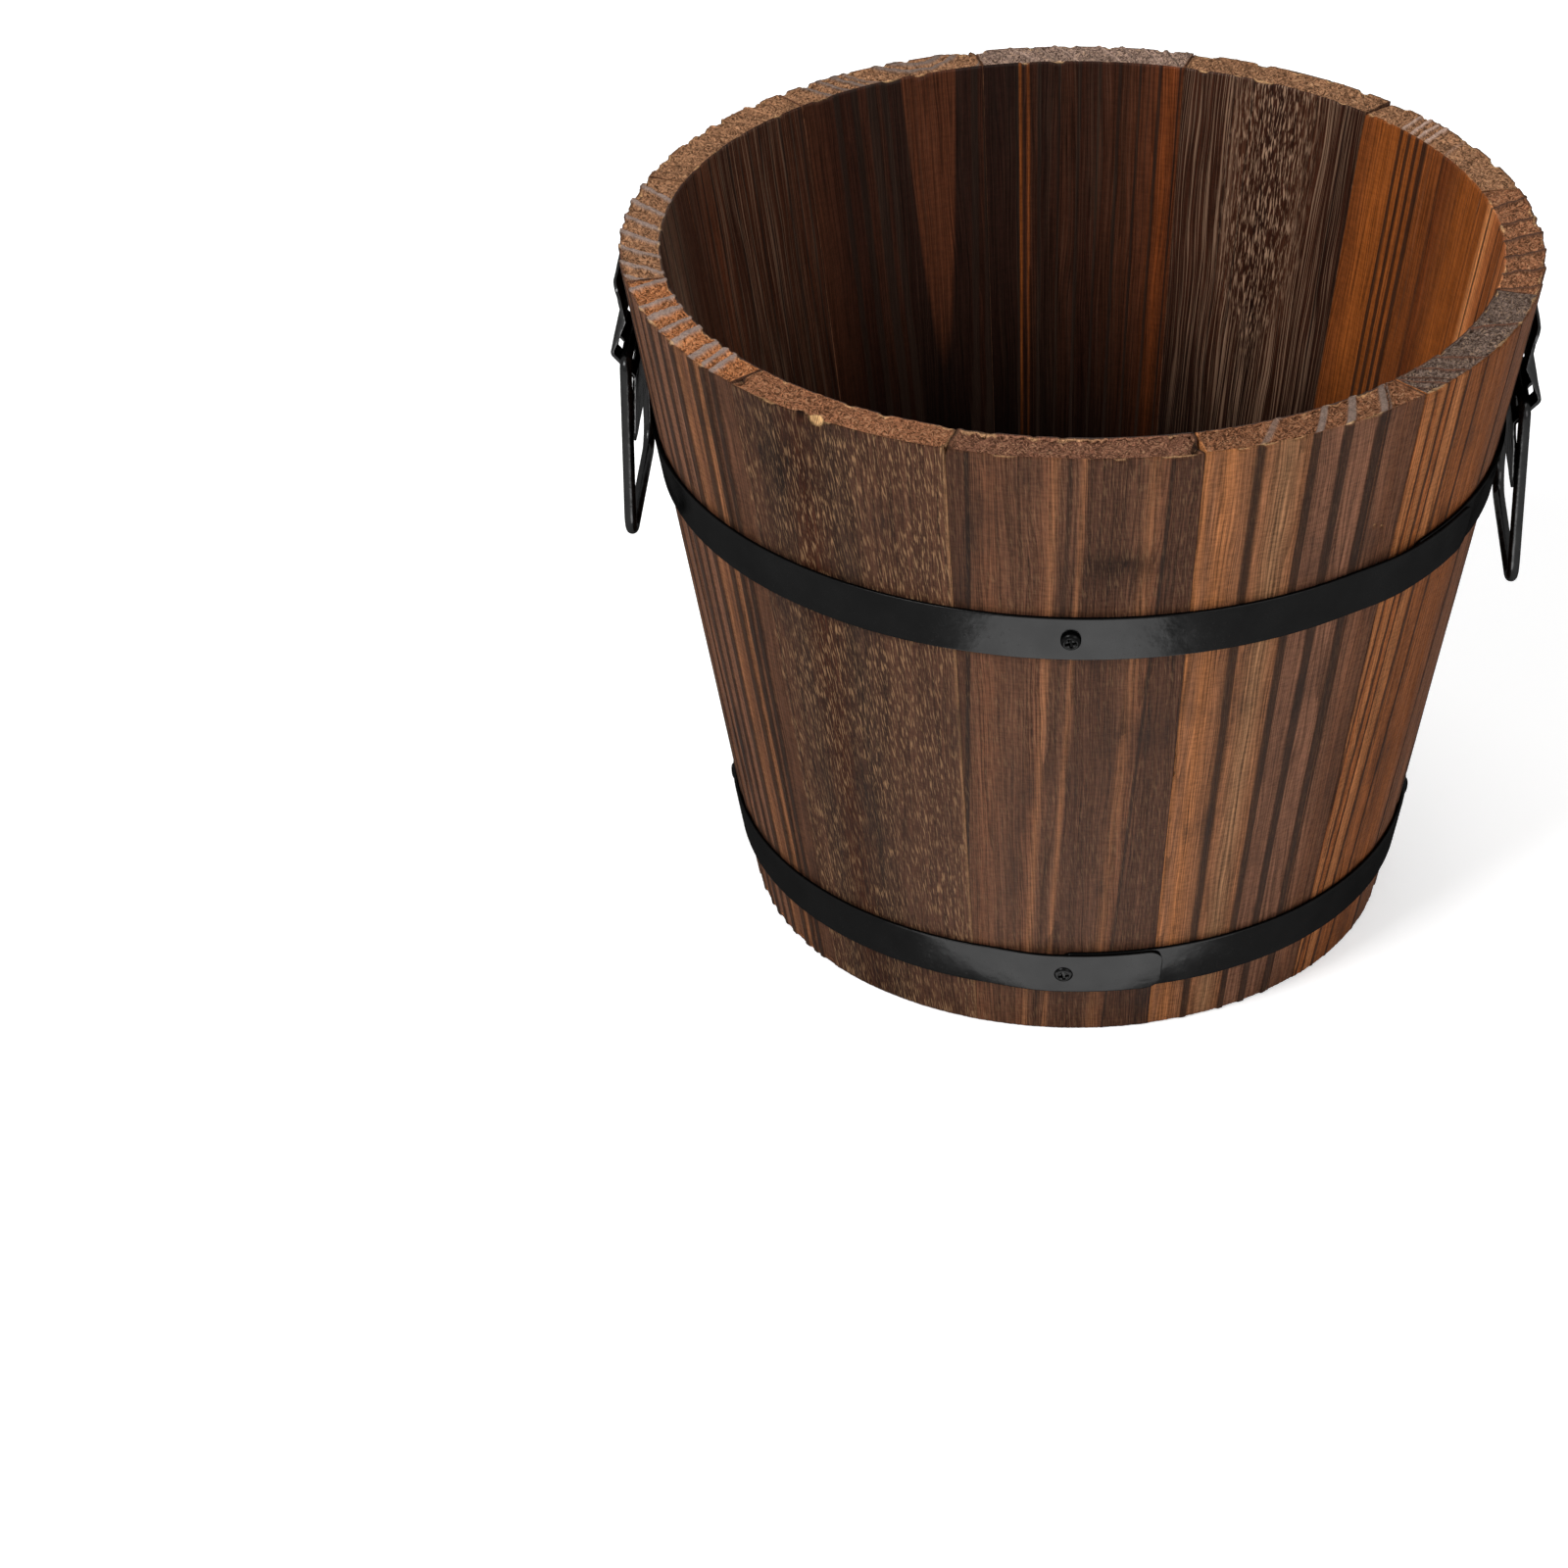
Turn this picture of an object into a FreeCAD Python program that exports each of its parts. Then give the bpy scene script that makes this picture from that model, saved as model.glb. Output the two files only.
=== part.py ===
import FreeCAD, Part
import math
import os

import Sketcher

# Wooden flower pot: twelve tapered staves round a bottom board, held by two steel hoops, with a ring handle
# hanging in a folded bracket on each side. The pot stands on z = 0 with its axis on Z.
# Azimuth is counted from the front (-Y) towards the right (+X), so the handles are at 90 and 270 degrees.
# Lengths are millimetres and angles are degrees.

SIZES = {
    # staves
    "height": 240,
    "top_diameter": 300,
    "foot_diameter": 220,
    "wall": 14,
    "stave_count": 12,
    "arris": 0.6,
    # bottom board in its groove
    "board_height": 24,
    "board_thickness": 10,
    "groove_depth": 4,
    "board_clearance": 0.2,
    "drain_diameter": 16,
    # hoops, each with one end lapped over the other
    "hoop_width": 16.6,
    "hoop_thickness": 1.2,
    "hoop_clearance": 0.2,
    "upper_hoop_drop": 69,
    "lower_hoop_height": 28.3,
    "upper_lap_azimuth": 63,
    "lower_lap_azimuth": 16,
    "lap_offset": 32,
    "lap_bury": 0.05,
    "lap_corner": 5,
    # pan head screws
    "upper_screw_count": 2,
    "lower_screw_count": 4,
    "screw_head_diameter": 6.4,
    "screw_head_height": 2.2,
    "screw_crown": 1.5,
    "screw_shank_diameter": 3,
    "screw_point": 3,
    "screw_cover": 1.2,
    "screw_clearance": 0.06,
    "recess_span": 3.8,
    "recess_width": 0.9,
    "recess_depth": 1.3,
    # handle brackets, measured off the wall and along it from the handle's own height
    "right_handle_drop": 51,
    "left_handle_drop": 39,
    "sheet_thickness": 1,
    "bracket_clearance": 0.1,
    "bracket_width": 50,
    "lip_stand_off": 1.6,
    "lip_rise": 30,
    "lip_bend_rise": 26,
    "lip_corner": 6,
    "bracket_screw_rise": 21.8,
    "crease_rise": 17,
    "fold_stand_off": 7.2,
    "fold_rise": 6.5,
    "fold_radius": 2.2,
    "valley_stand_off": 1.2,
    "valley_drop": 3.1,
    "flap_stand_off": 7,
    "flap_drop": 29,
    "flap_corner": 5,
    "slot_offset": 13.1,
    "slot_width": 6.8,
    "slot_inset": 1.6,
    "bend_radius": 1.5,
    # ring handles of round wire
    "wire_diameter": 4,
    "wire_clearance": 0.4,
    "ring_side_clearance": 1.5,
    "ring_grip_width": 69,
    "ring_drop": 63,
    "ring_top_radius": 3.5,
    "ring_grip_radius": 9,
    "ring_end_gap": 1,
}
# Azimuth of each handle, the turns at which the screws' recesses came to rest, the least length that counts
SIDES = {"right": 90, "left": 270}
SCREW_TURNS = (12, 55, 33, 71)
NEAR = 1e-4

doc = FreeCAD.newDocument("flower_pot")
sheet = doc.addObject("Spreadsheet::Sheet", "dims")
for row, (alias, size) in enumerate(SIZES.items(), 1):
    sheet.set(f"A{row}", alias)
    sheet.set(f"B{row}", str(size))
    sheet.setAlias(f"B{row}", alias)
doc.recompute()

# The wall's slope and tilt, and the places that several pieces share, as expressions on the sheet
SLOPE = "((dims.top_diameter - dims.foot_diameter) / 2 / dims.height)"
TILT = f"atan({SLOPE})"
STAVE_PITCH = 360 / SIZES["stave_count"]
BOARD_TOP = "(dims.board_height + dims.board_thickness)"
UPPER_HOOP_HEIGHT = "(dims.height - dims.upper_hoop_drop)"
LOWER_HOOP_HEIGHT = "dims.lower_hoop_height"
HOOP_FACE = "(dims.hoop_clearance + dims.hoop_thickness)"
SHEET_MIDDLE = "(dims.bracket_clearance + dims.sheet_thickness / 2)"
SHEET_FACE = "(dims.bracket_clearance + dims.sheet_thickness)"
SHANK_LENGTH = f"(dims.wall - dims.groove_depth - dims.screw_cover + {HOOP_FACE})"
HOLE_RADIUS = "(dims.screw_shank_diameter / 2 + dims.screw_clearance)"


def outer_radius(height):
    """Radius of the pot's outside at a height."""
    return f"(dims.foot_diameter / 2 + {SLOPE} * {height})"


def inner_radius(height):
    """Radius of the pot's inside at a height."""
    return f"({outer_radius(height)} - dims.wall)"


def off_wall(height, stand_off, rise="0"):
    """Radius and height of a point that stands off the outer wall and rises along it."""
    radius = f"({outer_radius(height)} + {stand_off} * cos({TILT}) + {rise} * sin({TILT}))"
    level = f"({height} - {stand_off} * sin({TILT}) + {rise} * cos({TILT}))"
    return radius, level


def handle_height(side):
    """Height of one handle: they were screwed on by eye, so the left one sits higher than the right one."""
    return f"(dims.height - dims.{side}_handle_drop)"


def place(body, azimuth, point, pitch):
    """Puts a body at a point (radius, height) of a meridian, with its X axis outwards, pitched about Y."""
    radius, level = point
    where = f"vector({radius} * sin({azimuth}); -{radius} * cos({azimuth}); {level})"
    body.setExpression("Placement", f"placement({where}; rotation({azimuth} - 90; {pitch}; 0))")


def value(expression):
    """Number that an expression on the sheet gives now."""
    return float(sheet.evalExpression(expression))


def new_body(label):
    """Empty body with its own label."""
    body = doc.addObject("PartDesign::Body", label)
    body.Label = label
    return body


def new_sketch(body, name, role):
    """Sketch on one of the body's own origin planes."""
    sketch = body.newObject("Sketcher::SketchObject", name)
    plane = next(feature for feature in body.Origin.OriginFeatures if feature.Role == role)
    sketch.AttachmentSupport = [(plane, "")]
    sketch.MapMode = "FlatFace"
    return sketch


def meridian_sketch(body, name, azimuth):
    """Sketch in the half plane of one azimuth: x is the radius from the pot's axis and y is the height.

    Its turn about the pot's axis starts at one degree, because a turn of nothing would lose its axis."""
    sketch = new_sketch(body, name, "XZ_Plane")
    first_turn = FreeCAD.Rotation(FreeCAD.Vector(0, 1, 0), 1)
    sketch.AttachmentOffset = FreeCAD.Placement(FreeCAD.Vector(), first_turn)
    sketch.setExpression("AttachmentOffset.Rotation.Angle", f"{azimuth} - 90")
    return sketch


def level_sketch(body, name, level):
    """Sketch in a plane parallel to the body's XY plane."""
    sketch = new_sketch(body, name, "XY_Plane")
    sketch.setExpression("AttachmentOffset.Base.z", level)
    return sketch


def bind(sketch, constraint, expression):
    """Adds a dimension to a sketch and ties it to an expression."""
    index = sketch.addConstraint(constraint)
    sketch.setExpression(f"Constraints[{index}]", expression)


def pin_point(sketch, geometry, end, x, y):
    """Holds one end of a piece of geometry at coordinates that are expressions."""
    for kind, axis, expression in (("DistanceX", -2, x), ("DistanceY", -1, y)):
        if expression == "0":
            sketch.addConstraint(Sketcher.Constraint("PointOnObject", geometry, end, axis))
        else:
            datum = Sketcher.Constraint(kind, -1, 1, geometry, end, value(expression))
            bind(sketch, datum, expression)


def trace(sketch, corners, closed=True):
    """Draws lines through corners (x, y) or (x, y, radius), and rounds each corner that has a radius."""
    count = len(corners)
    points = [FreeCAD.Vector(value(corner[0]), value(corner[1]), 0) for corner in corners]
    radii = [corner[2] if len(corner) > 2 else None for corner in corners]
    runs = count if closed else count - 1
    heading = [(points[(i + 1) % count] - points[i]).normalize() for i in range(runs)]
    turns = [0.0] * count
    for i in range(count):
        if closed or 0 < i < count - 1:
            before, after = heading[i - 1], heading[i % runs]
            turns[i] = math.atan2(before.x * after.y - before.y * after.x, before.dot(after))
    cut = [value(radii[i]) * math.tan(abs(turns[i]) / 2) if radii[i] else 0.0 for i in range(count)]
    lines = []
    for i in range(runs):
        start = points[i] + heading[i] * cut[i]
        end = points[(i + 1) % count] - heading[i] * cut[(i + 1) % count]
        lines.append(sketch.addGeometry(Part.LineSegment(start, end), False))
    for i in range(count):
        x, y = corners[i][0], corners[i][1]
        if not closed and i in (0, count - 1):
            pin_point(sketch, lines[0] if i == 0 else lines[-1], 1 if i == 0 else 2, x, y)
        elif radii[i] is None:
            sketch.addConstraint(Sketcher.Constraint("Coincident", lines[i - 1], 2, lines[i], 1))
            pin_point(sketch, lines[i], 1, x, y)
        else:
            round_corner(sketch, lines[i - 1], lines[i], corners[i], points[i], heading[i - 1], turns[i])


def round_corner(sketch, line_in, line_out, corner, point, heading, turn):
    """Adds the arc that is tangent to two lines, with their corner kept as a construction point."""
    x, y, radius = corner
    side = math.copysign(1.0, turn)
    size = value(radius)
    start = point - heading * (size * math.tan(abs(turn) / 2))
    centre = start + FreeCAD.Vector(-heading.y, heading.x, 0) * (side * size)
    first = math.atan2(start.y - centre.y, start.x - centre.x)
    span = sorted((first, first + turn))
    circle = Part.Circle(centre, FreeCAD.Vector(0, 0, 1), size)
    arc = sketch.addGeometry(Part.ArcOfCircle(circle, span[0], span[1]), False)
    enter, leave = (1, 2) if turn > 0 else (2, 1)
    sketch.addConstraint(Sketcher.Constraint("Tangent", line_in, 2, arc, enter))
    sketch.addConstraint(Sketcher.Constraint("Tangent", arc, leave, line_out, 1))
    apex = sketch.addGeometry(Part.Point(point), True)
    sketch.addConstraint(Sketcher.Constraint("PointOnObject", apex, 1, line_in))
    sketch.addConstraint(Sketcher.Constraint("PointOnObject", apex, 1, line_out))
    pin_point(sketch, apex, 1, x, y)
    bind(sketch, Sketcher.Constraint("Radius", arc, size), radius)


def add_circle(sketch, diameter):
    """Circle about the sketch's origin."""
    circle = Part.Circle(FreeCAD.Vector(), FreeCAD.Vector(0, 0, 1), value(diameter) / 2)
    geometry = sketch.addGeometry(circle, False)
    sketch.addConstraint(Sketcher.Constraint("Coincident", geometry, 3, -1, 1))
    bind(sketch, Sketcher.Constraint("Diameter", geometry, value(diameter)), diameter)


def revolve(body, kind, name, sketch, axis="V_Axis"):
    """Revolution or groove of a sketch through a full turn about one of its axes or edges."""
    feature = body.newObject(f"PartDesign::{kind}", name)
    feature.Profile = sketch
    feature.ReferenceAxis = (sketch, [axis])
    feature.Angle = 360
    return feature


def drill(body, azimuth, height, name):
    """Hole for a screw's shank, square to the outer wall, from outside the wall to the shank's point."""
    outside = f"({HOOP_FACE} + dims.screw_head_height)"
    depth = f"({HOOP_FACE} - {SHANK_LENGTH} - dims.screw_clearance)"
    sketch = meridian_sketch(body, f"{name}_section", azimuth)
    trace(sketch, [
        off_wall(height, outside),
        off_wall(height, depth),
        off_wall(height, depth, HOLE_RADIUS),
        off_wall(height, outside, HOLE_RADIUS),
    ])
    return revolve(body, "Groove", name, sketch, "Edge1")


def spread(count):
    """Azimuths of screws spread evenly round a hoop from the front."""
    return [360 / count * index for index in range(count)]


# Every screw on the pot: its node, its azimuth, the point under its head and the height where it is drilled
screws = [("upper_hoop_screws", azimuth, UPPER_HOOP_HEIGHT, HOOP_FACE)
          for azimuth in spread(SIZES["upper_screw_count"])]
screws += [("lower_hoop_screws", azimuth, LOWER_HOOP_HEIGHT, HOOP_FACE)
           for azimuth in spread(SIZES["lower_screw_count"])]
for side in SIDES:
    screw_height = off_wall(handle_height(side), "0", "dims.bracket_screw_rise")[1]
    screws.append((f"{side}_handle_screw", SIDES[side], screw_height, SHEET_FACE))


def make_stave(index):
    """Board of one pitch of the wall, turned inside and out, with the bottom's groove and screw holes."""
    label = f"stave_{index + 1:02d}"
    azimuth = STAVE_PITCH * index
    body = new_body(label)
    groove_radius = f"({inner_radius('dims.board_height')} + dims.groove_depth)"
    section = meridian_sketch(body, f"{label}_section", azimuth)
    trace(section, [
        (outer_radius("0"), "0"),
        (outer_radius("dims.height"), "dims.height"),
        (inner_radius("dims.height"), "dims.height"),
        (inner_radius(BOARD_TOP), BOARD_TOP),
        (groove_radius, BOARD_TOP),
        (groove_radius, "dims.board_height"),
        (inner_radius("dims.board_height"), "dims.board_height"),
        (inner_radius("0"), "0"),
    ])
    board = revolve(body, "Revolution", f"{label}_board", section)
    board.Midplane = True
    board.setExpression("Angle", "360 / dims.stave_count")
    doc.recompute()
    largest = max(range(len(board.Shape.Faces)), key=lambda i: board.Shape.Faces[i].Area)
    edges = body.newObject("PartDesign::Fillet", f"{label}_arris")
    edges.Base = (board, [f"Face{largest + 1}"])
    edges.setExpression("Radius", "dims.arris")
    for number, (_, screw_azimuth, height, _) in enumerate(screws, 1):
        apart = (screw_azimuth - azimuth + 180) % 360 - 180
        if -STAVE_PITCH / 2 <= apart < STAVE_PITCH / 2:
            drill(body, screw_azimuth, height, f"{label}_hole_{number}")
    return body


def make_bottom():
    """Round board that sits in the staves' groove, with a drain hole in its middle."""
    body = new_body("bottom_board")
    outline = level_sketch(body, "bottom_board_outline", "dims.board_height")
    reach = f"({inner_radius('dims.board_height')} + dims.groove_depth - dims.board_clearance)"
    add_circle(outline, f"(2 * {reach})")
    add_circle(outline, "dims.drain_diameter")
    pad = body.newObject("PartDesign::Pad", "bottom_board_pad")
    pad.Profile = outline
    pad.setExpression("Length", "dims.board_thickness")
    return body


def strip_section(height, inner, outer):
    """Corners of a strip's section on the wall, between two distances off the wall."""
    down, up = "(-dims.hoop_width / 2)", "(dims.hoop_width / 2)"
    return [
        off_wall(height, inner, down),
        off_wall(height, outer, down),
        off_wall(height, outer, up),
        off_wall(height, inner, up),
    ]


def make_hoop(label, height, lap_azimuth):
    """Steel strip round the staves. Its outer end lifts by one thickness and laps over the inner end."""
    body = new_body(label)
    face = off_wall(height, HOOP_FACE)[0]
    crest = f"({face} + dims.hoop_thickness * cos({TILT}))"
    root = f"({face} - dims.lap_bury)"
    lift = f"({crest} * {crest} - {root} * {root}) / (2 * dims.lap_offset * ({crest} - dims.lap_offset))"

    # The lap turns about an axis of its own, off the pot's axis, so it rises out of the strip to its end
    lap_section = meridian_sketch(body, f"{label}_lap_section", lap_azimuth)
    buried = f"({HOOP_FACE} - dims.lap_bury)"
    lifted = f"({HOOP_FACE} + dims.hoop_thickness)"
    trace(lap_section, strip_section(height, buried, lifted))
    aside = value("dims.lap_offset")
    axis = Part.LineSegment(FreeCAD.Vector(aside, 0, 0), FreeCAD.Vector(aside, value(height), 0))
    centre = lap_section.addGeometry(axis, True)
    pin_point(lap_section, centre, 1, "dims.lap_offset", "0")
    pin_point(lap_section, centre, 2, "dims.lap_offset", height)
    lap = revolve(body, "Revolution", f"{label}_lap", lap_section, "Axis0")
    lap.Reversed = True
    lap.setExpression("Angle", f"acos(1 - {lift})")
    doc.recompute()
    corners = [f"Edge{i + 1}" for i, edge in enumerate(lap.Shape.Edges) if is_lap_corner(edge, lap_azimuth)]
    rounding = body.newObject("PartDesign::Fillet", f"{label}_lap_corners")
    rounding.Base = (lap, corners)
    rounding.setExpression("Radius", "dims.lap_corner")

    section = meridian_sketch(body, f"{label}_section", lap_azimuth)
    trace(section, strip_section(height, "dims.hoop_clearance", HOOP_FACE))
    revolve(body, "Revolution", f"{label}_strip", section)
    for number, (node, azimuth, level, _) in enumerate(screws, 1):
        if node == f"{label}_screws":
            drill(body, azimuth, level, f"{label}_hole_{number}")
    return body


def is_lap_corner(edge, lap_azimuth):
    """True for the two short edges across the strip's thickness at the lap's free end."""
    angle = math.radians(value(lap_azimuth))
    along = FreeCAD.Vector(math.cos(angle), math.sin(angle), 0)
    at_end = all(abs(vertex.Point.dot(along)) < NEAR for vertex in edge.Vertexes)
    return at_end and edge.Length < value("dims.hoop_width") / 2


def make_screw(name, azimuth, height, stand_off, turn):
    """Pan head screw with a cross recess and a plain shank, its head on the wall's fittings."""
    body = new_body(name)
    section = new_sketch(body, f"{name}_section", "XZ_Plane")
    head, shank = "(dims.screw_head_diameter / 2)", "(dims.screw_shank_diameter / 2)"
    trace(section, [
        ("0", "dims.screw_head_height"),
        (head, "dims.screw_head_height", "dims.screw_crown"),
        (head, "0"),
        (shank, "0"),
        (shank, f"(dims.screw_point - {SHANK_LENGTH})"),
        ("0", f"(-{SHANK_LENGTH})"),
    ])
    revolve(body, "Revolution", f"{name}_turned", section)
    recess = level_sketch(body, f"{name}_recess_outline", "dims.screw_head_height")
    clocking = FreeCAD.Rotation(FreeCAD.Vector(0, 0, 1), turn)
    recess.AttachmentOffset = FreeCAD.Placement(FreeCAD.Vector(), clocking)
    arm, half = "(dims.recess_span / 2)", "(dims.recess_width / 2)"
    quarter = [(arm, half), (half, half), (half, arm)]
    corners = []
    for _ in range(4):
        corners += quarter
        quarter = [(f"(-{y})", x) for x, y in quarter]
    trace(recess, corners)
    pocket = body.newObject("PartDesign::Pocket", f"{name}_recess")
    pocket.Profile = recess
    pocket.setExpression("Length", "dims.recess_depth")
    place(body, azimuth, off_wall(height, stand_off), f"(90 deg + {TILT})")
    return body


def make_bracket(side):
    """Folded sheet that holds the ring: a flange with a lip, a roof, a slotted return, a valley and a flap.

    Its X is off the wall, its Y along the rim and its Z up the wall from the handle's height."""
    label = f"{side}_handle_bracket"
    body = new_body(label)
    start = "dims.bracket_screw_rise"
    blank = level_sketch(body, f"{label}_blank", start)
    inner, outer = "dims.bracket_clearance", SHEET_FACE
    edge = "(dims.bracket_width / 2 + dims.sheet_thickness)"
    trace(blank, [(inner, f"(-{edge})"), (outer, f"(-{edge})"), (outer, edge), (inner, edge)])
    downwards = [
        (SHEET_MIDDLE, start),
        (SHEET_MIDDLE, "dims.crease_rise", "dims.bend_radius"),
        ("dims.fold_stand_off", "dims.fold_rise", "dims.fold_radius"),
        ("dims.valley_stand_off", "(-dims.valley_drop)", "dims.bend_radius"),
        ("dims.flap_stand_off", "(-dims.flap_drop)"),
    ]
    upwards = [
        (SHEET_MIDDLE, start),
        (SHEET_MIDDLE, "dims.lip_bend_rise", "dims.bend_radius"),
        ("dims.lip_stand_off", "dims.lip_rise"),
    ]
    for name, corners in (("roof_and_flap", downwards), ("lip", upwards)):
        path = new_sketch(body, f"{label}_{name}_path", "XZ_Plane")
        trace(path, corners, closed=False)
        doc.recompute()
        pipe = body.newObject("PartDesign::AdditivePipe", f"{label}_{name}")
        pipe.Profile = blank
        pipe.Spine = path
        doc.recompute()

    # The blank is cut to the bracket's outline, seen square to the wall
    outline = new_sketch(body, f"{label}_outline", "YZ_Plane")
    flank, top, foot = "(dims.bracket_width / 2)", "dims.lip_rise", "(-dims.flap_drop)"
    nip = "(dims.bracket_width / 2 - dims.flap_corner)"
    shoulder = "(dims.flap_corner - dims.flap_drop)"
    trace(outline, [
        (f"(-{flank})", shoulder),
        (f"(-{nip})", foot),
        (nip, foot),
        (flank, shoulder),
        (flank, top, "dims.lip_corner"),
        (f"(-{flank})", top, "dims.lip_corner"),
    ])
    beyond = "(dims.bracket_width + dims.lip_rise + dims.flap_drop)"
    trace(outline, [
        (f"(-{beyond})", f"(-{beyond})"),
        (beyond, f"(-{beyond})"),
        (beyond, beyond),
        (f"(-{beyond})", beyond),
    ])
    trim = body.newObject("PartDesign::Pocket", f"{label}_trim")
    trim.Profile = outline
    trim.Type = "ThroughAll"
    trim.Midplane = True

    # Two slots through the return, seen square to the wall
    slots = new_sketch(body, f"{label}_slots_outline", "YZ_Plane")
    low, high = "(dims.slot_inset - dims.valley_drop)", "(dims.fold_rise - dims.slot_inset)"
    near, far = "(dims.slot_offset - dims.slot_width / 2)", "(dims.slot_offset + dims.slot_width / 2)"
    trace(slots, [(near, low), (far, low), (far, high), (near, high)])
    trace(slots, [(f"(-{far})", low), (f"(-{near})", low), (f"(-{near})", high), (f"(-{far})", high)])
    punch = body.newObject("PartDesign::Pocket", f"{label}_slots")
    punch.Profile = slots
    punch.Type = "ThroughAll"
    punch.Midplane = True

    hole_outline = new_sketch(body, f"{label}_hole_outline", "YZ_Plane")
    add_circle(hole_outline, f"(2 * {HOLE_RADIUS})")
    hole_outline.setExpression("AttachmentOffset.Base.y", "dims.bracket_screw_rise")
    hole = body.newObject("PartDesign::Pocket", f"{label}_hole")
    hole.Profile = hole_outline
    hole.Type = "ThroughAll"
    hole.Midplane = True
    place(body, SIDES[side], off_wall(handle_height(side), "0"), TILT)
    return body


def pivot_point(side):
    """Radius and height of the ring's turning axis: the wire lies on the wall and the bracket's return."""
    stand_off = "(dims.wire_diameter / 2 + dims.wire_clearance)"
    seat = "(dims.wire_diameter / 2 + dims.sheet_thickness / 2 + dims.wire_clearance)"
    across = "(dims.fold_stand_off - dims.valley_stand_off)"
    along = "(dims.fold_rise + dims.valley_drop)"
    slant = f"sqrt({across} * {across} + {along} * {along})"
    climb = f"(({seat} * {slant} + {along} * ({stand_off} - dims.valley_stand_off)) / {across})"
    rise = f"({climb} - dims.valley_drop)"
    return off_wall(handle_height(side), stand_off, rise)


def make_ring(side):
    """Ring bent from one wire, with its ends butted in the bracket's fold. It hangs from its top bar."""
    label = f"{side}_handle_ring"
    body = new_body(label)
    top = "(dims.bracket_width / 2 + dims.ring_side_clearance + dims.wire_diameter / 2)"
    grip = "(dims.ring_grip_width / 2)"
    butt = "(dims.ring_end_gap / 2)"
    path = new_sketch(body, f"{label}_path", "YZ_Plane")
    trace(path, [
        (butt, "0"),
        (top, "0", "dims.ring_top_radius"),
        (grip, "(-dims.ring_drop)", "dims.ring_grip_radius"),
        (f"(-{grip})", "(-dims.ring_drop)", "dims.ring_grip_radius"),
        (f"(-{top})", "0", "dims.ring_top_radius"),
        (f"(-{butt})", "0"),
    ], closed=False)
    wire = new_sketch(body, f"{label}_wire", "XZ_Plane")
    wire.setExpression("AttachmentOffset.Base.z", f"(-{butt})")
    add_circle(wire, "dims.wire_diameter")
    doc.recompute()
    pipe = body.newObject("PartDesign::AdditivePipe", f"{label}_pipe")
    pipe.Profile = wire
    pipe.Spine = path
    place(body, SIDES[side], pivot_point(side), "0")
    return body


def make_screw_node(node):
    """All screws of one node, as one group of separate solids."""
    places = [screw for screw in screws if screw[0] == node]
    bodies = []
    for number, (_, azimuth, height, stand_off) in enumerate(places, 1):
        turn = SCREW_TURNS[number % len(SCREW_TURNS)]
        bodies.append(make_screw(f"{node}_{number}", azimuth, height, stand_off, turn))
    group = doc.addObject("Part::Compound", node)
    group.Label = node
    group.Links = bodies
    return group


nodes = [make_stave(index) for index in range(SIZES["stave_count"])]
nodes.append(make_bottom())
nodes.append(make_hoop("upper_hoop", UPPER_HOOP_HEIGHT, "dims.upper_lap_azimuth"))
nodes.append(make_hoop("lower_hoop", LOWER_HOOP_HEIGHT, "dims.lower_lap_azimuth"))
nodes += [make_screw_node(node) for node in dict.fromkeys(screw[0] for screw in screws)]
for side in SIDES:
    nodes.append(make_bracket(side))
    nodes.append(make_ring(side))
doc.recompute()

failed = [item.Label for item in doc.Objects if "Invalid" in item.State or "Error" in item.State]
failed += [node.Label for node in nodes if node.Shape.isNull() or not node.Shape.isValid()]
if failed:
    raise RuntimeError("not built: " + ", ".join(failed))
for side in SIDES:
    pivot = [value(expression) for expression in pivot_point(side)]
    print(f"{side} ring's axis at radius {pivot[0]:.4f} and height {pivot[1]:.4f}")
os.makedirs("parts", exist_ok=True)
for node in nodes:
    node.Shape.exportStep(f"parts/{node.Label}.step")
    print(f"{node.Label}: {len(node.Shape.Solids)} solid(s), {node.Shape.Volume / 1000:.3f} cm3")
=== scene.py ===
# %% [markdown]
# # Scorched wooden flower pot
# The pot is coopered: twelve tapered boards (staves) stand in a ring round a bottom board, and two black
# steel hoops hold them. The wood was scorched and brushed, so the hard late wood of each year stands
# proud and dark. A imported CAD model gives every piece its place. This lesson dresses that frame with
# surfaces worked out in numpy and with finishes made of shader nodes, and it never moves a CAD part.

# %% Load the fixed frame
import math
from types import SimpleNamespace

import bpy
import numpy as np
from mathutils import Matrix


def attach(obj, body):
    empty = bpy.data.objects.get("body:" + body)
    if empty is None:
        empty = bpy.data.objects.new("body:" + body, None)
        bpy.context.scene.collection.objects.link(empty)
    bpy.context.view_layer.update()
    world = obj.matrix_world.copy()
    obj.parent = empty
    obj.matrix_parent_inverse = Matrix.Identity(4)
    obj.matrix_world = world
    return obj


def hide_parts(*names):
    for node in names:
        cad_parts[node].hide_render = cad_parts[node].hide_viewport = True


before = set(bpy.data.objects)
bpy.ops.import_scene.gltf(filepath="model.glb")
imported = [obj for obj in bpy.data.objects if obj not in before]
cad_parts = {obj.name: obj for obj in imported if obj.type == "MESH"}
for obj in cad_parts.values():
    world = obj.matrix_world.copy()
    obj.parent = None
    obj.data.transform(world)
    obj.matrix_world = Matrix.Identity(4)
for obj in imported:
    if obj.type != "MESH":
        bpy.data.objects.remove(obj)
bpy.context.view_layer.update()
bpy.context.scene.view_settings.view_transform = "Standard"

# %% [markdown]
# ## The pot's own measure
# A cooper thinks in heights and in places round the pot. All shapes here are worked out in millimetres,
# with an azimuth counted in degrees from the front towards the right handle, and become metres only in
# the mesh.

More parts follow.
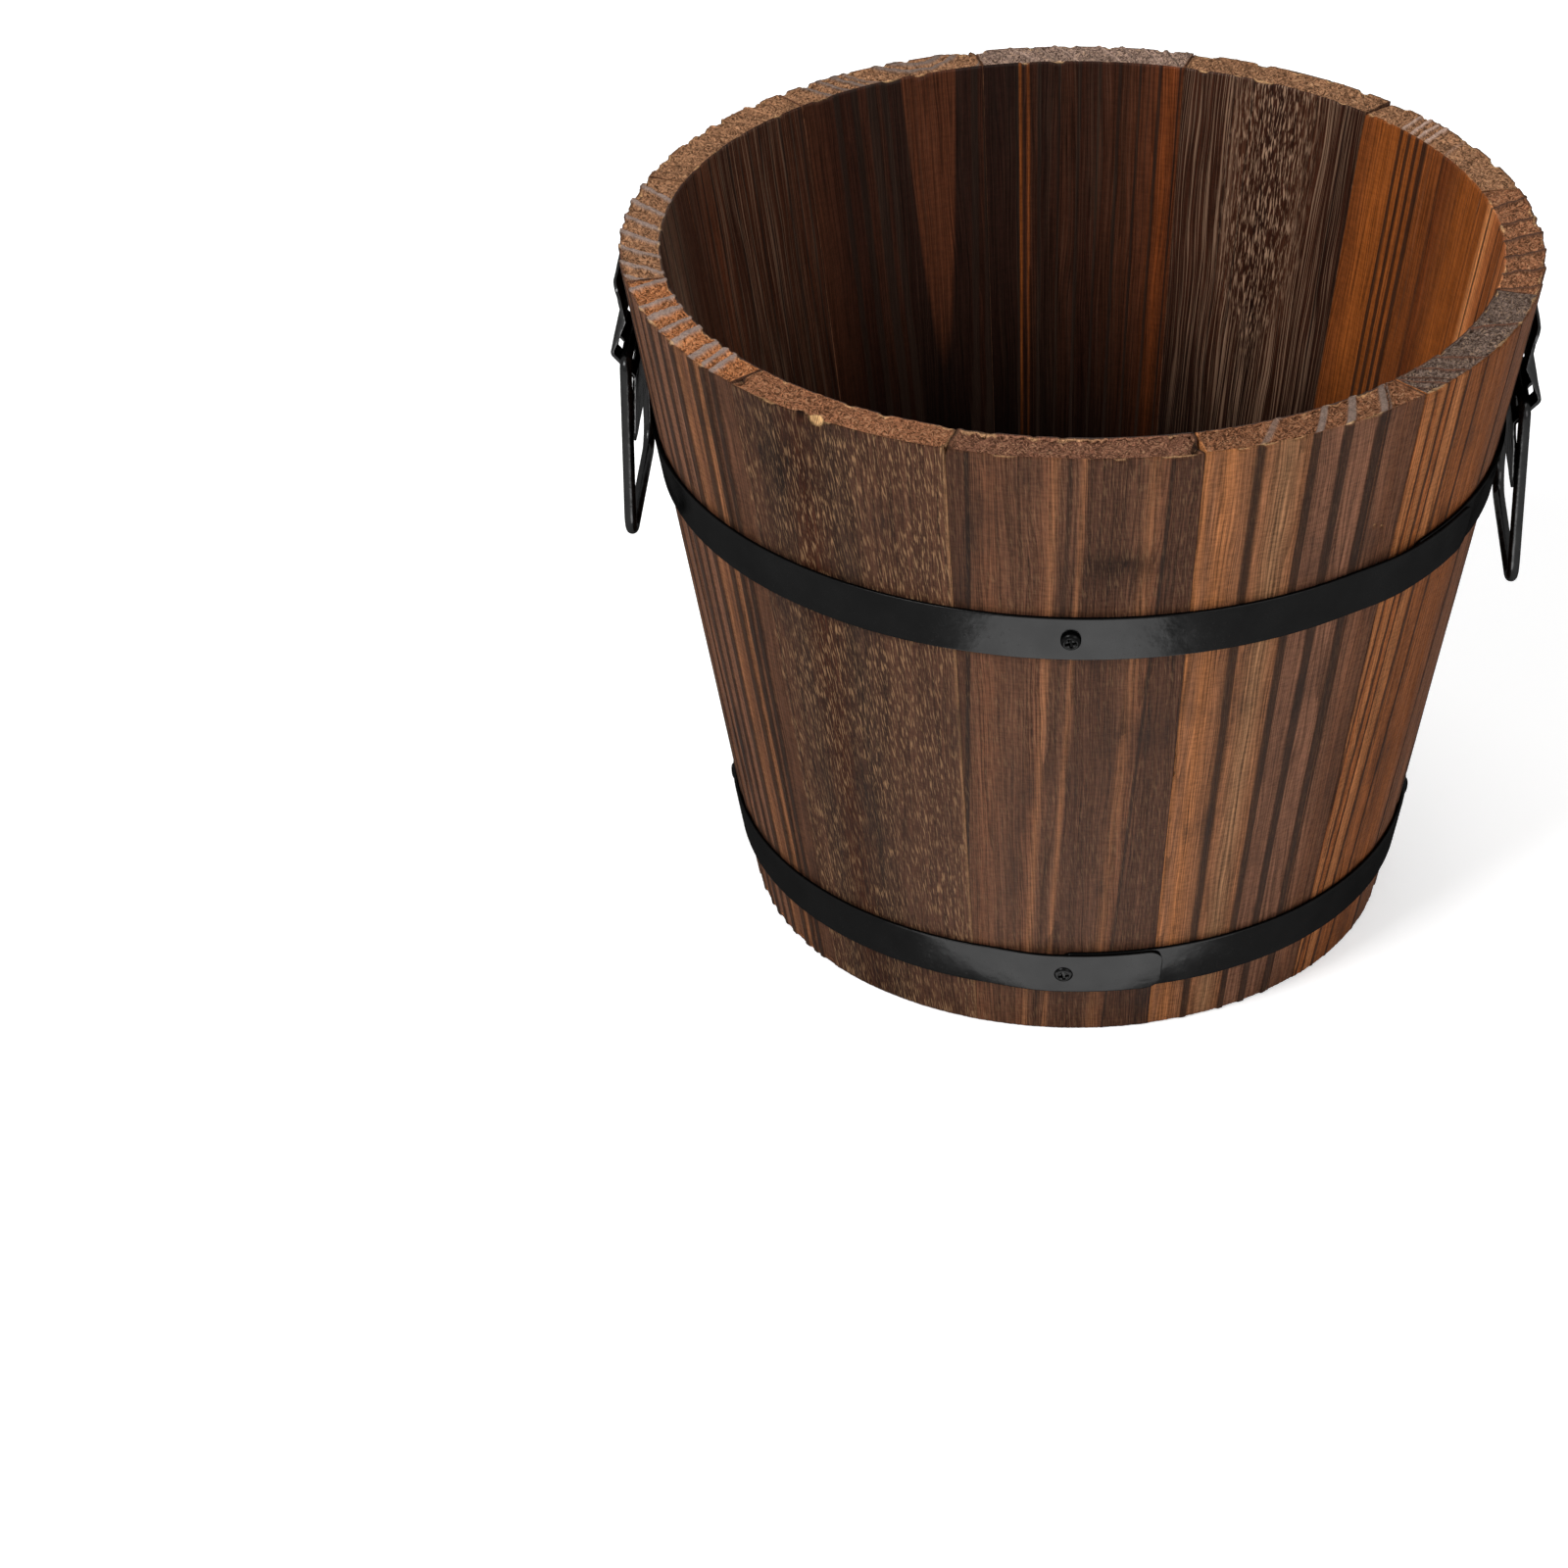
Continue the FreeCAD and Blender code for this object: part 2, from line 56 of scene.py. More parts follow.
# %% Sizes and places
HEIGHT, FOOT_RADIUS, RIM_RADIUS, WALL = 240.0, 110.0, 150.0, 14.0
SLOPE = (RIM_RADIUS - FOOT_RADIUS) / HEIGHT
TILT = math.atan(SLOPE)


def wall_radius(height):
    """Radius of the pot's outside: it grows evenly from the foot to the rim."""
    return FOOT_RADIUS + SLOPE * height


def around(azimuth, radius, height):
    """Points at an azimuth: radius times its sine is X, less radius times its cosine is Y, height is Z."""
    turn = np.radians(azimuth)
    return np.stack(np.broadcast_arrays(radius * np.sin(turn), -radius * np.cos(turn), height), -1)


def off_wall(level, stand_off, rise):
    """Radius and height of points square off the wall at a level, and further up along the wall."""
    radius = wall_radius(level) + stand_off * math.cos(TILT) + rise * math.sin(TILT)
    return radius, level - stand_off * math.sin(TILT) + rise * math.cos(TILT)


print(f"wall leans out by {math.degrees(TILT):.2f} degrees")

# %% [markdown]
# ## Tools for shapes
# Boards, strips and folded sheets are all boxes that were bent. So one function makes the skin of a box
# of grid points, one rounds its edges, and one puts the bent result into a mesh. A fourth gives smooth
# noise for the unevenness that hand work and fire leave.


# %% Box skin, rounded edges, noise and mesh
def graded(low, high, step, edge=0.9):
    """Places from low to high about one step apart, and closer at both ends, where the edge is rounded."""
    near = edge * np.array([0, 0.14, 0.34, 0.6])
    middle = np.linspace(low + edge, high - edge, max(2, round((high - low) / step)))
    return np.concatenate([low + near, middle, (high - near)[::-1]])


def box_skin(*places):
    """Skin of a box lattice: six grids, each over two of the three parameters, sharing edge points."""
    sizes = [len(along) for along in places]
    sides = []
    for axis in range(3):
        first, second = (axis + 1) % 3, (axis + 2) % 3
        i, j = np.meshgrid(np.arange(sizes[first]), np.arange(sizes[second]), indexing="ij")
        for end in (0, sizes[axis] - 1):
            index = [None] * 3
            index[axis], index[first], index[second] = np.full_like(i, end), i, j
            number = np.ravel_multi_index(index, sizes)
            quads = np.stack([number[:-1, :-1], number[1:, :-1], number[1:, 1:], number[:-1, 1:]], -1)
            sides.append((quads if end else quads[..., ::-1]).reshape(-1, 4))
    used, quads = np.unique(np.concatenate(sides), return_inverse=True)
    index = np.unravel_index(used, sizes)
    return np.stack([along[i] for along, i in zip(places, index)], -1), quads.reshape(-1, 4)


def round_edges(points, low, high, radius):
    """Pulls box points in so that edges are round: nearest point of a smaller box, plus the radius."""
    radius = np.broadcast_to(radius, points.shape[:1])[:, None]
    core = np.clip(points, low + radius, high - radius)
    outward = points - core
    outward = outward / np.linalg.norm(outward, axis=1, keepdims=True)
    return core + radius * outward, outward


def speckle(points, seed):
    """Smooth noise from 0 to 1: a random value at each corner of unit cells, eased across each cell."""
    cell = np.floor(points)
    part = points - cell
    part = part * part * (3 - 2 * part)
    total = 0
    for corner in np.ndindex(2, 2, 2):
        value = np.sin((cell + corner) @ (127.1, 311.7, 74.7) + seed * 13.7) * 43758.5453
        total = total + np.prod(np.where(corner, part, 1 - part), axis=-1) * (value - np.floor(value))
    return total


def ease(value, low, high):
    """Smooth step from 0 at low to 1 at high."""
    part = np.clip((value - low) / (high - low), 0, 1)
    return part * part * (3 - 2 * part)


def add_piece(name, points, quads, body, replaced):
    """Puts points (mm) and faces into a smooth mesh piece that rides on a body and stands for a CAD node."""
    mesh = bpy.data.meshes.new(name)
    mesh.from_pydata(points * 0.001, [], quads)
    mesh.polygons.foreach_set("use_smooth", np.ones(len(mesh.polygons), bool))
    piece = bpy.data.objects.new(name, mesh)
    bpy.context.scene.collection.objects.link(piece)
    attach(piece, body)
    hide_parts(replaced)
    return piece


def add_attribute(piece, name, kind, values):
    """Stores one value per point on a piece: FLOAT, FLOAT_VECTOR or FLOAT_COLOR."""
    field = {"FLOAT": "value", "FLOAT_VECTOR": "vector", "FLOAT_COLOR": "color"}[kind]
    attribute = piece.data.attributes.new(name, kind, "POINT")
    attribute.data.foreach_set(field, np.ascontiguousarray(values, np.float32).ravel())


print("shape tools ready")

# %% [markdown]
# ## How each board grew
# No two staves are cut from the same place in the tree. Where the saw went straight through the year
# rings, dark late wood runs in bands down the face and as bars across the rim. Where it ran along them,
# there are only flecks. A table holds what the eye sees on each board: tones across the face, named like
# a stainer's colours, and the centre, half width and strength of each dark band. Most boards count across
# in degrees, and the bands lean with the depth (slant) and the height (drift). Two boards hold the tree's
# heart close by (pith), so their bands are rings counted in millimetres.

# %% Table of the boards
TONES = dict(pitch="1a0d09", soot="23110b", char="2a160e", bistre="321b11", umber="3e2114", mud="3c2a21",
             brick="5a2d14", sepia="4e3428", rust="673719", bark="5d3f30", copper="78411b",
             walnut="6c4734", cocoa="734f3d", ash="63564e", ginger="7f4c2c", hazel="7a5239",
             rosewood="7b5644", amber="935630", chestnut="8b5e42", biscuit="916b4e", tan="a56c44",
             slate="74665e", dove="907b6e", straw="bb7c4e", splinter="e8bd88")

# Relief is how far the soft wood is worn down, fleck how many pale flecks lie outside and inside, end the
# tones of the soft wood and the bars on the rim, and low how far the rim lies below the others.
# Nicks: azimuth, depth in the wall, distance below the rim, size, dent (a dark chip is less than zero).
# Smudges: azimuth, distance below the rim, half width across, half width up, strength.
BOARDS = [
    dict(outside="-15 sepia -13 sepia -12 bark -10 walnut -7 bark -4.5 bark -3 walnut -2.2 chestnut "
                 "-1.4 bark .6 bark 1.2 chestnut 1.8 sepia 5 sepia 8 bark 9.2 hazel 10.5 walnut 12 sepia "
                 "15 sepia",
         inside="-15 char -6 umber -2 soot 5 char 15 soot",
         bands="-12.4 .35 .7 -8.8 .2 .35 -.4 .5 .45 6.5 .25 .3 11.3 .35 .6",
         slant=-0.15, drift=-4.5, relief=0.2, fleck=(0.25, 0.1), end="cocoa bark", low=0.7,
         nicks=[(14.7, 5, 0, 1.1, -2.6), (-14.8, 1, 0, 0.7, -1.6)],
         smudges=[(6.3, 41, 5, 4, 0.6), (4, 45, 6, 9, 0.3)]),
    dict(outside="-15.3 straw -14.6 tan -13.5 chestnut -12 tan -9.6 chestnut -8.6 hazel -7 chestnut "
                 "-4.5 biscuit -2 chestnut -.2 rosewood 6.8 rosewood 9.5 cocoa 12 walnut 15 bark",
         inside="-15 char -4 umber 2 soot 9 bistre 15 soot",
         bands="-8.2 .75 .65 -1.1 .6 1 3.2 .7 1 8.1 .65 .95 9.1 .2 .7",
         slant=-0.32, drift=-0.4, relief=0.5, fleck=(0.1, 0.1), end="hazel ash",
         nicks=[(10.8, 0, 46, 0.35, 0.9), (12.2, 0, 47.5, 0.3, 0.9),
                (-14.9, 0, 120, 0.4, 1.0), (-14.9, 0, 128, 0.4, 1.0)]),
    dict(outside="-15.3 amber -13.6 tan -12.6 amber -11.6 tan -10.4 amber -8.2 tan -6.4 ginger 4 ginger "
                 "8 walnut 15 walnut",
         inside="-15 char -6 umber 0 char 8 bistre 15 char",
         bands="-13 .2 .9 -10.9 .25 1 -9.5 .2 .9 -6.7 .3 1 -2.6 .3 1 7.2 .35 .9",
         slant=0.3, drift=-3.5, relief=0.25, fleck=(0.1, 0.1), end="ash sepia"),
    dict(outside="-15 rosewood -5 walnut 0 rosewood 6 cocoa 15 walnut",
         inside="-15 amber -10 tan -5 ginger 0 amber 5 rust 10 amber 13 straw 15 copper",
         bands="-12.2 .3 .9 -7.5 .35 1 -2.5 .35 1 2.3 .35 1 7 .3 1 12.5 .3 .9",
         slant=0.2, drift=1, relief=0.45, fleck=(0.1, 0.1), end="chestnut mud"),
    dict(outside="0 walnut 20 hazel 30 walnut 45 hazel 60 walnut",
         inside="0 rust 12 copper 17 ginger 24 copper 29 copper 33 rust 37 brick 39 rust 46 rust "
                "58 copper 70 copper 76 rust",
         bands="26 .8 .2 31 .7 .35 38.5 .5 .5 49 .5 .9 53 .4 .9 57 .4 .9 61 .4 .8",
         pith=(-36, -12, 4), relief=0.3, fleck=(0.1, 0.05), end="biscuit dove"),
    dict(outside="-15 sepia -8 bark 0 sepia 7 bark 15 sepia",
         inside="-15 bistre -8 soot 0 bistre 5 soot 9 bistre 15 char",
         bands="-13 .2 .6 -10 .2 .5 -7 .25 .6 6 .2 .5 9 .25 .6 12 .2 .6",
         slant=0.35, drift=1, relief=0.25, fleck=(0.8, 1.0), end="biscuit biscuit"),
    dict(outside="-15 walnut -5 rosewood 2 walnut 9 cocoa 15 bark",
         inside="-15 umber -13.5 brick -12 umber -9.5 brick -7 umber -3 bistre 2 soot 6 char 9 pitch "
                "11.4 char 11.7 rust 12 char 12.6 soot 12.9 copper 13.2 pitch 15 pitch",
         bands="-14 .2 .7 -11 .2 .7 -8 .3 .8 -5 .25 .7 -2 .3 .8 1 .25 .7 4 .3 .8 7 .25 .7 10 .3 .8 "
               "13.4 .25 .7",
         slant=0.25, drift=1, relief=0.3, fleck=(0.15, 0.05), end="dove dove"),
    dict(outside="0 rosewood 12 walnut 22 hazel 34 bark 48 cocoa",
         inside="0 umber 24.6 umber 25 pitch 27.4 pitch 28.4 soot 34 char 42 soot 60 bistre",
         bands="12 .8 .8 17 .7 .8 29 .5 .7 33 .7 .9 39 .6 .8 46 .6 .8",
         pith=(-17, -8, 6.5), relief=0.35, fleck=(0.1, 0.03), end="biscuit ash", low=0.4,
         nicks=[(-14.6, 0, 0, 0.9, -2.2)]),
    dict(outside="-15 chestnut -6 hazel 0 chestnut 8 hazel 15 walnut",
         inside="-15 rust -14.2 char -10 bistre -5 char 0 bistre 5 char 10 umber 15 char",
         bands="-13 .2 .8 -11.2 .2 .7 -9 .3 .8 -6.5 .2 .7 -4.4 .2 .8 -2 .3 .7 .4 .2 .8 3 .25 .8 "
               "5.6 .2 .7 8.2 .3 .8 11 .2 .8 13.4 .2 .7",
         slant=0.08, drift=1.5, relief=0.3, fleck=(0.2, 0.3), end="biscuit biscuit"),
    dict(outside="-15 walnut -6 cocoa 2 walnut 9 rosewood 15 cocoa",
         inside="-15 char -8 mud 0 char 6 mud 15 char",
         bands="-12.5 .6 .9 -8 .6 1 -3.6 .6 1 .8 .6 1 5 .55 1 9.4 .5 1 13 .5 .9",
         slant=-0.29, drift=-1, relief=0.5, fleck=(0.1, 0.3), end="biscuit slate"),
    dict(outside="-15 cocoa -10 cocoa -5 rosewood -2 cocoa 1 rosewood 3.6 chestnut 5 walnut 6.3 chestnut "
                 "8.5 chestnut 10 bark 12.5 bark",
         inside="-15 char -4 bistre 4 char 15 bistre",
         bands="-12.5 .6 .9 -7.5 .5 .9 -4.4 .9 .8 -.8 .5 .9 2.3 .7 1 6.9 .65 1 9.4 .55 1 11.4 .5 1",
         slant=0.14, drift=0, relief=0.6, fleck=(0.1, 0.1), end="tan slate"),
    dict(outside="-15.5 bark -13 sepia -9 mud -5 umber 0 mud 5 sepia 12 sepia 14.4 bark 14.8 biscuit",
         inside="-15 char -5 bistre 3 soot 15 char",
         bands="-14 .3 .5 13.5 .3 .3",
         slant=0, drift=0, relief=0.2, fleck=(1.0, 0.2), end="chestnut hazel",
         nicks=[(-1.7, 0, 0.5, 1.0, 2.8), (-3.9, 1.2, 0, 1.0, -2.8),
                (-14.8, 4, 0, 0.7, -1.8), (14.8, 1, 0, 0.7, -1.6)],
         smudges=[(-8, 24, 5, 12, 0.5)]),
]


def linear(tone):
    """A tone's linear red, green and blue, as light adds up, from its hexadecimal screen colour."""
    screen = np.array([int(TONES[tone][i:i + 2], 16) for i in (0, 2, 4)]) / 255
    return np.where(screen <= 0.04045, screen / 12.92, ((screen + 0.055) / 1.055) ** 2.4)


def tint(stops, place):
    """Colour at each place, read off a list of 'place tone' stops."""
    words = stops.split()
    at = [float(word) for word in words[::2]]
    colours = np.array([linear(word) for word in words[1::2]])
    return np.stack([np.interp(place, at, channel) for channel in colours.T], -1)


print("boards in the table:", len(BOARDS))

# %% [markdown]
# ## Late wood
# Each year a tree lays down soft early wood and then a thin layer of hard late wood. On a board those
# layers show as dark bands. Painting them on would stop at every edge, so a rule says where a point lies
# in the tree instead. It holds all round the board, and a band on the face goes on as a bar across the
# rim and comes out on the inside.

# %% Where a point lies in the tree
STEP = 360 / len(BOARDS)
RIM_DEGREE = RIM_RADIUS * math.radians(1)
HALF = RIM_DEGREE * STEP / 2


def growth(board, across, deep, up):
    """Where a point lies in the tree: its distance from the pith, or its azimuth less the bands' lean."""
    fall = 1 - up / HEIGHT
    if "pith" in board:
        aside, outside, drop = board["pith"]
        return np.hypot(across - aside, deep - outside + drop * fall)
    return across / RIM_DEGREE + board["slant"] * deep - board["drift"] * fall ** 1.4


def late_wood(board, place):
    """Late wood from 0 to 1: the strongest band, each flat in its middle and falling off at its sides."""
    bands = np.array(board["bands"].split(), float).reshape(-1, 3)
    width = 2.2 if "pith" in board else 1.0
    away = np.abs(place[:, None] - bands[:, 0]) / (bands[:, 1] * width)
    return (bands[:, 2] * np.clip(1.5 - away, 0, 1)).max(1)


print(f"a stave is {2 * HALF:.1f} mm wide at the rim")

# %% [markdown]
# ## The shape of a stave
# A stave is a box bent round the pot: one parameter goes across it, one through its wall and one up. It
# could be sculpted by hand, but a formula gives all twelve their own wear at once. Brushing wore the soft
# wood down, so points between the bands sink in along the surface's normal, and the sawn ends are the
# roughest. Nothing rises above the CAD wall, because the handle's wire passes close to it.

# %% Shape of a stave
GROOVE_LOW, GROOVE_HIGH, GROOVE_DEPTH = 24.0, 34.0, 4.0
JOINT_OVERLAP, ARRIS, CHIPPED_ARRIS = 0.02, 0.42, 1.5
NICK_STRETCH = 2.6


def stave_rows(board):
    """Heights of the rows of points: close at both ends, at the groove and round each nick in the face."""
    groove = [GROOVE_LOW - 0.02, GROOVE_HIGH - 0.02, GROOVE_HIGH + 0.02]
    nicks = [HEIGHT - below for _, _, below, _, _ in board.get("nicks", []) if below > 10]
    near_nicks = np.add.outer(nicks, np.arange(-2, 2.1, 0.5)).ravel()
    face = np.linspace(GROOVE_HIGH + 3, HEIGHT - 12, 62)
    rows = [graded(0, GROOVE_LOW, 2.2), groove, face, graded(HEIGHT - 10, HEIGHT, 0.8), near_nicks]
    return np.unique(np.concatenate(rows).round(3))


def nick_depth(board, across, deep, up):
    """Depth of the nicks in mm, less than zero for dark chips: a bell round each nick's place."""
    total = np.zeros_like(up)
    for azimuth, inward, below, size, dent in board.get("nicks", []):
        away = np.hypot(across / RIM_DEGREE - azimuth, (deep - inward) / NICK_STRETCH) / size
        total += dent * np.exp(-away ** 2 - ((HEIGHT - below - up) / (NICK_STRETCH * size)) ** 2)
    return total


def bend_stave(number, board):
    """Box bent round the pot: width follows the radius, edges are round, wear goes along the normal.

    Gives the points, the faces, and what the finish has to know of each point."""
    lattice, quads = box_skin(graded(-HALF, HALF, 0.5), graded(0, WALL, 0.5), stave_rows(board))
    across, deep, up = lattice.T

    # True width at this radius and a hair more, which keeps light out of the joints.
    # Edges are rounder where the rim is chipped
    limit = HALF * (wall_radius(up) - deep) / RIM_RADIUS + JOINT_OVERLAP
    chips = speckle(lattice * [0.22, 0.1, 0.12], number)
    radius = ARRIS + (0.35 + CHIPPED_ARRIS * ease(chips, 0.55, 0.85)) * ease(HEIGHT - up, 11, 1)
    low = np.stack([-limit, 0 * up, 0 * up], -1)
    high = np.stack([limit, 0 * up + WALL, 0 * up + HEIGHT], -1)
    rounded, outward = round_edges(np.stack([across / HALF * limit, deep, up], -1), low, high, radius)

    # Late wood stands, soft wood is worn away, and the rim is rougher than the faces
    place = growth(board, across, deep, up)
    late = late_wood(board, place)
    soft = 1 - ease(late, 0.2, 0.8)
    outer, inner = np.clip(-outward[:, 1], 0, 1), np.clip(outward[:, 1], 0, 1)
    end = np.abs(outward[:, 2])
    coarse = speckle(lattice * 0.8, number + 20)
    broad = speckle(lattice * [0.24, 0.24, 0.1], number + 60)
    streak = speckle(lattice * [1.1, 1.1, 0.02], number + 40)
    worn = (outer + 0.6 * inner) * (board["relief"] * soft + 0.22 * streak)
    torn = (0.45 + 1.1 * board["relief"]) * soft * (0.4 + 0.9 * coarse) + 0.7 * coarse * (0.4 + 0.6 * soft)
    worn += end * (torn + 0.8 * broad + board.get("low", 0))
    nick = nick_depth(board, across, deep, up)
    shaped = rounded - outward * (worn + np.abs(nick))[:, None]

    # Bend round the pot, with the groove cut from the inside
    in_groove = (shaped[:, 2] > GROOVE_LOW) & (shaped[:, 2] < GROOVE_HIGH)
    radii = wall_radius(shaped[:, 2]) - shaped[:, 1] + GROOVE_DEPTH * in_groove * ease(deep, 6, 7)
    points = around(STEP * number + np.degrees(shaped[:, 0] / radii), radii, shaped[:, 2])
    skin = SimpleNamespace(across=across, deep=deep, up=up, place=place, late=late, outer=outer, inner=inner,
                           end=end, nick=nick, chips=chips)
    return points, quads, skin


print("rows of points up a stave:", len(stave_rows(BOARDS[0])))

# %% [markdown]
# ## The stain of a stave
# Fire darkened each board in its own way. Those large changes of colour are worked out per point and
# stored on the mesh as attributes, which the material reads, and so is painted shade: the inside is
# painted a little brighter near the rim and darker towards the bottom, where little light reaches down
# into the pot. What is finer than the mesh is left to the material's noise.

# %% Stain the staves
BOARD_SHIFT = 97


def painted_inside_shading(up):
    """Painted light and shade on the inside colour: 1.2 times near the rim, and little below the middle,
    where little light reaches down.
    """
    return 1.2 * (1 - 0.95 * ease(HEIGHT - up, 55, 160))


def stain_stave(board, skin):
    """Colour of each point: tones by place on the face, inside ones with painted shade, two tones on the
    ends.

    Broken edges and nicks show pale wood, and smudges and chips are dark."""
    stain = tint(board["outside"], skin.place)
    # Painted shade inside: the inside tones are brightened near the rim and darkened towards the bottom.
    inside = tint(board["inside"], skin.place) * painted_inside_shading(skin.up)[:, None]
    stain = np.where((skin.inner > 0.5)[:, None], inside, stain)
    early, bars = (linear(tone) for tone in board["end"].split())
    ends = early + (bars - early) * ease(skin.late, 0.3, 0.8)[:, None]
    stain = np.where((skin.end > 0.5)[:, None], ends, stain)
    edge = np.minimum(skin.end, skin.inner + skin.outer)
    broken = 0.45 * ease(edge, 0.3, 0.6) * ease(skin.chips, 0.5, 0.75)
    pale = np.maximum(ease(skin.nick, 0.5, 1.2), broken)
    stain = stain + (linear("splinter") - stain) * pale[:, None]
    for azimuth, below, wide, tall, dark in board.get("smudges", []):
        away = ((skin.across / RIM_DEGREE - azimuth) / wide) ** 2 + ((HEIGHT - below - skin.up) / tall) ** 2
        stain = stain * (1 - dark * np.exp(-away) * skin.outer)[:, None]
    return stain * (1 - 0.8 * ease(-skin.nick, 0.5, 1.5))[:, None]


def make_stave(number, board):
    """Bends and stains one board, and stores on its points what the material reads."""
    points, quads, skin = bend_stave(number, board)
    node = f"stave_{number + 1:02d}"
    stave = add_piece(f"{node}_scorched", points, quads, "tub", node)
    stain = stain_stave(board, skin)
    outside_fleck, inside_fleck = board["fleck"]
    # The inside flecks get the same painted shade with depth, and fade towards the board's edges.
    faint = painted_inside_shading(skin.up) * (1 - 0.78 * np.abs(skin.across) / HALF)
    fleck = np.where(skin.inner > 0.5, inside_fleck * faint, outside_fleck)
    grain = np.stack([skin.across + BOARD_SHIFT * number, skin.deep, skin.up], -1)
    add_attribute(stave, "stain", "FLOAT_COLOR", np.column_stack([stain, np.ones(len(stain))]))
    add_attribute(stave, "late", "FLOAT", skin.late)
    add_attribute(stave, "grain", "FLOAT_VECTOR", grain)
    add_attribute(stave, "finish", "FLOAT_VECTOR", np.stack([fleck, skin.inner, skin.end], -1))
    return stave


staves = [make_stave(number, board) for number, board in enumerate(BOARDS)]
print("staves:", len(staves), "faces each:", len(staves[0].data.polygons))

# %% [markdown]
# ## The steel hoops
# Each hoop is a strip of steel that runs once round the wall and a little further, so its outer end laps
# over its inner end. Along the strip, the stand-off from the wall climbs by one thickness before the lap.
# The free end has round corners, which is the strip's width getting less over its last millimetres.

# %% Build the hoops
HOOP_WIDTH, HOOP_THICKNESS, HOOP_CLEARANCE, HOOP_CORNER = 16.6, 1.2, 0.2, 5.0


def make_hoop(name, level, lap_azimuth, lap):
    """Flat strip carried round the wall: azimuth along it, stand-off through it, rise across it."""
    reach = 360.0 + lap
    per_degree = wall_radius(level) * math.radians(1)
    along = graded(0, reach * per_degree, 1.3)
    through = graded(0, HOOP_THICKNESS, 0.4, 0.3)
    lattice, quads = box_skin(along, through, graded(-HOOP_WIDTH / 2, HOOP_WIDTH / 2, 1.1, 0.5))
    rounded, _ = round_edges(lattice, lattice.min(0), lattice.max(0), 0.35)
    run, depth, rise = rounded.T
    to_end = np.minimum(run, along[-1] - run)
    short = np.clip(HOOP_CORNER - to_end, 0, HOOP_CORNER)
    corner = HOOP_CORNER - np.sqrt(HOOP_CORNER ** 2 - short ** 2)
    rise = rise * (1 - corner / (HOOP_WIDTH / 2))
    azimuth = lap_azimuth - reach + run / per_degree
    lift = HOOP_THICKNESS * ease(run / per_degree, 348, 359)
    wave = 0.12 * speckle(np.stack([run * 0.05, rise * 0.05, 0 * run], -1), level)
    radius, height = off_wall(level, HOOP_CLEARANCE + lift + wave + HOOP_THICKNESS - depth, rise)
    return add_piece(f"{name}_strip", around(azimuth, radius, height), quads, "tub", name)


UPPER_LEVEL, LOWER_LEVEL = 171.0, 28.3
hoops = [
    make_hoop("upper_hoop", UPPER_LEVEL, lap_azimuth=63, lap=14),
    make_hoop("lower_hoop", LOWER_LEVEL, lap_azimuth=16, lap=17),
]
print("hoops:", [len(hoop.data.polygons) for hoop in hoops])

# %% [markdown]
# ## The screws
# Pan head screws hold the hoops and brackets. A screw is turned, so its skin is a profile carried round
# an axis. The cross recess is pressed in: points of the head's top that lie inside the cross are pushed
# down.

# %% Build the screws
HEAD_RADIUS, HEAD_HEIGHT, CROWN, SHANK_RADIUS, SHANK = 3.2, 2.2, 1.5, 1.5, 10.2
FLAT_ROWS, CROSS_ROWS, SPOKES = 22, 26, 96


def grid_faces(rows, columns):
    """Faces of a grid that is closed round its second parameter, and caps on its first and last row."""
    number = np.arange(rows * columns).reshape(rows, columns)
    ahead = np.roll(number, -1, axis=1)
    quads = np.stack([number[:-1], ahead[:-1], ahead[1:], number[1:]], -1).reshape(-1, 4)
    return quads, np.stack([number[0, ::-1], number[-1]])


def screw_skin(turn):
    """Profile of head, shank and point against the angle. In the cross, the head sinks by its depth."""
    bend = np.linspace(0, math.pi / 2, 9)
    flat = np.linspace(0.02, HEAD_RADIUS - CROWN, FLAT_ROWS)
    radius = np.concatenate([flat, HEAD_RADIUS - CROWN + CROWN * np.sin(bend),
                             [HEAD_RADIUS, HEAD_RADIUS - 0.1, SHANK_RADIUS, SHANK_RADIUS, 0.02]])
    height = np.concatenate([np.full(FLAT_ROWS, HEAD_HEIGHT), HEAD_HEIGHT - CROWN + CROWN * np.cos(bend),
                             [0.1, 0, 0, 3 - SHANK, -SHANK]])
    angle = np.linspace(0, 2 * math.pi, SPOKES, endpoint=False)
    x, y = np.outer(radius, np.cos(angle)), np.outer(radius, np.sin(angle))
    arm = np.minimum(np.abs(x), np.abs(y))
    reach = np.maximum(np.abs(x), np.abs(y))
    cross = (1 - ease(arm, 0.4, 0.58)) * (1 - ease(reach, 1.6, 1.95))
    sunk = cross * (np.arange(len(radius)) < CROSS_ROWS)[:, None] * (1.3 - 0.3 * reach)
    skin = np.stack([x, y, height[:, None] - sunk], -1)
    spin = math.radians(turn)
    turned = np.stack([skin[..., 0] * math.cos(spin) - skin[..., 1] * math.sin(spin),
                       skin[..., 0] * math.sin(spin) + skin[..., 1] * math.cos(spin), skin[..., 2]], -1)
    return turned.reshape(-1, 3), [faces[:, ::-1] for faces in grid_faces(len(radius), SPOKES)]


def make_screws(node, spots):
    """All screws of a node, each square to the wall: x along the rim, y up the wall, z off it."""
    points, faces = [], []
    for azimuth, level, stand_off, turn in spots:
        skin, parts = screw_skin(turn)
        radius, height = off_wall(level, stand_off + skin[:, 2], skin[:, 1])
        out = math.radians(azimuth)
        side = skin[:, :1] * [[math.cos(out), math.sin(out), 0]]
        before = sum(len(made) for made in points)
        faces += [face for part in parts for face in (part + before).tolist()]
        points.append(around(azimuth, radius, height) + side)
    return add_piece(f"{node}_heads", np.concatenate(points), faces, "tub", node)


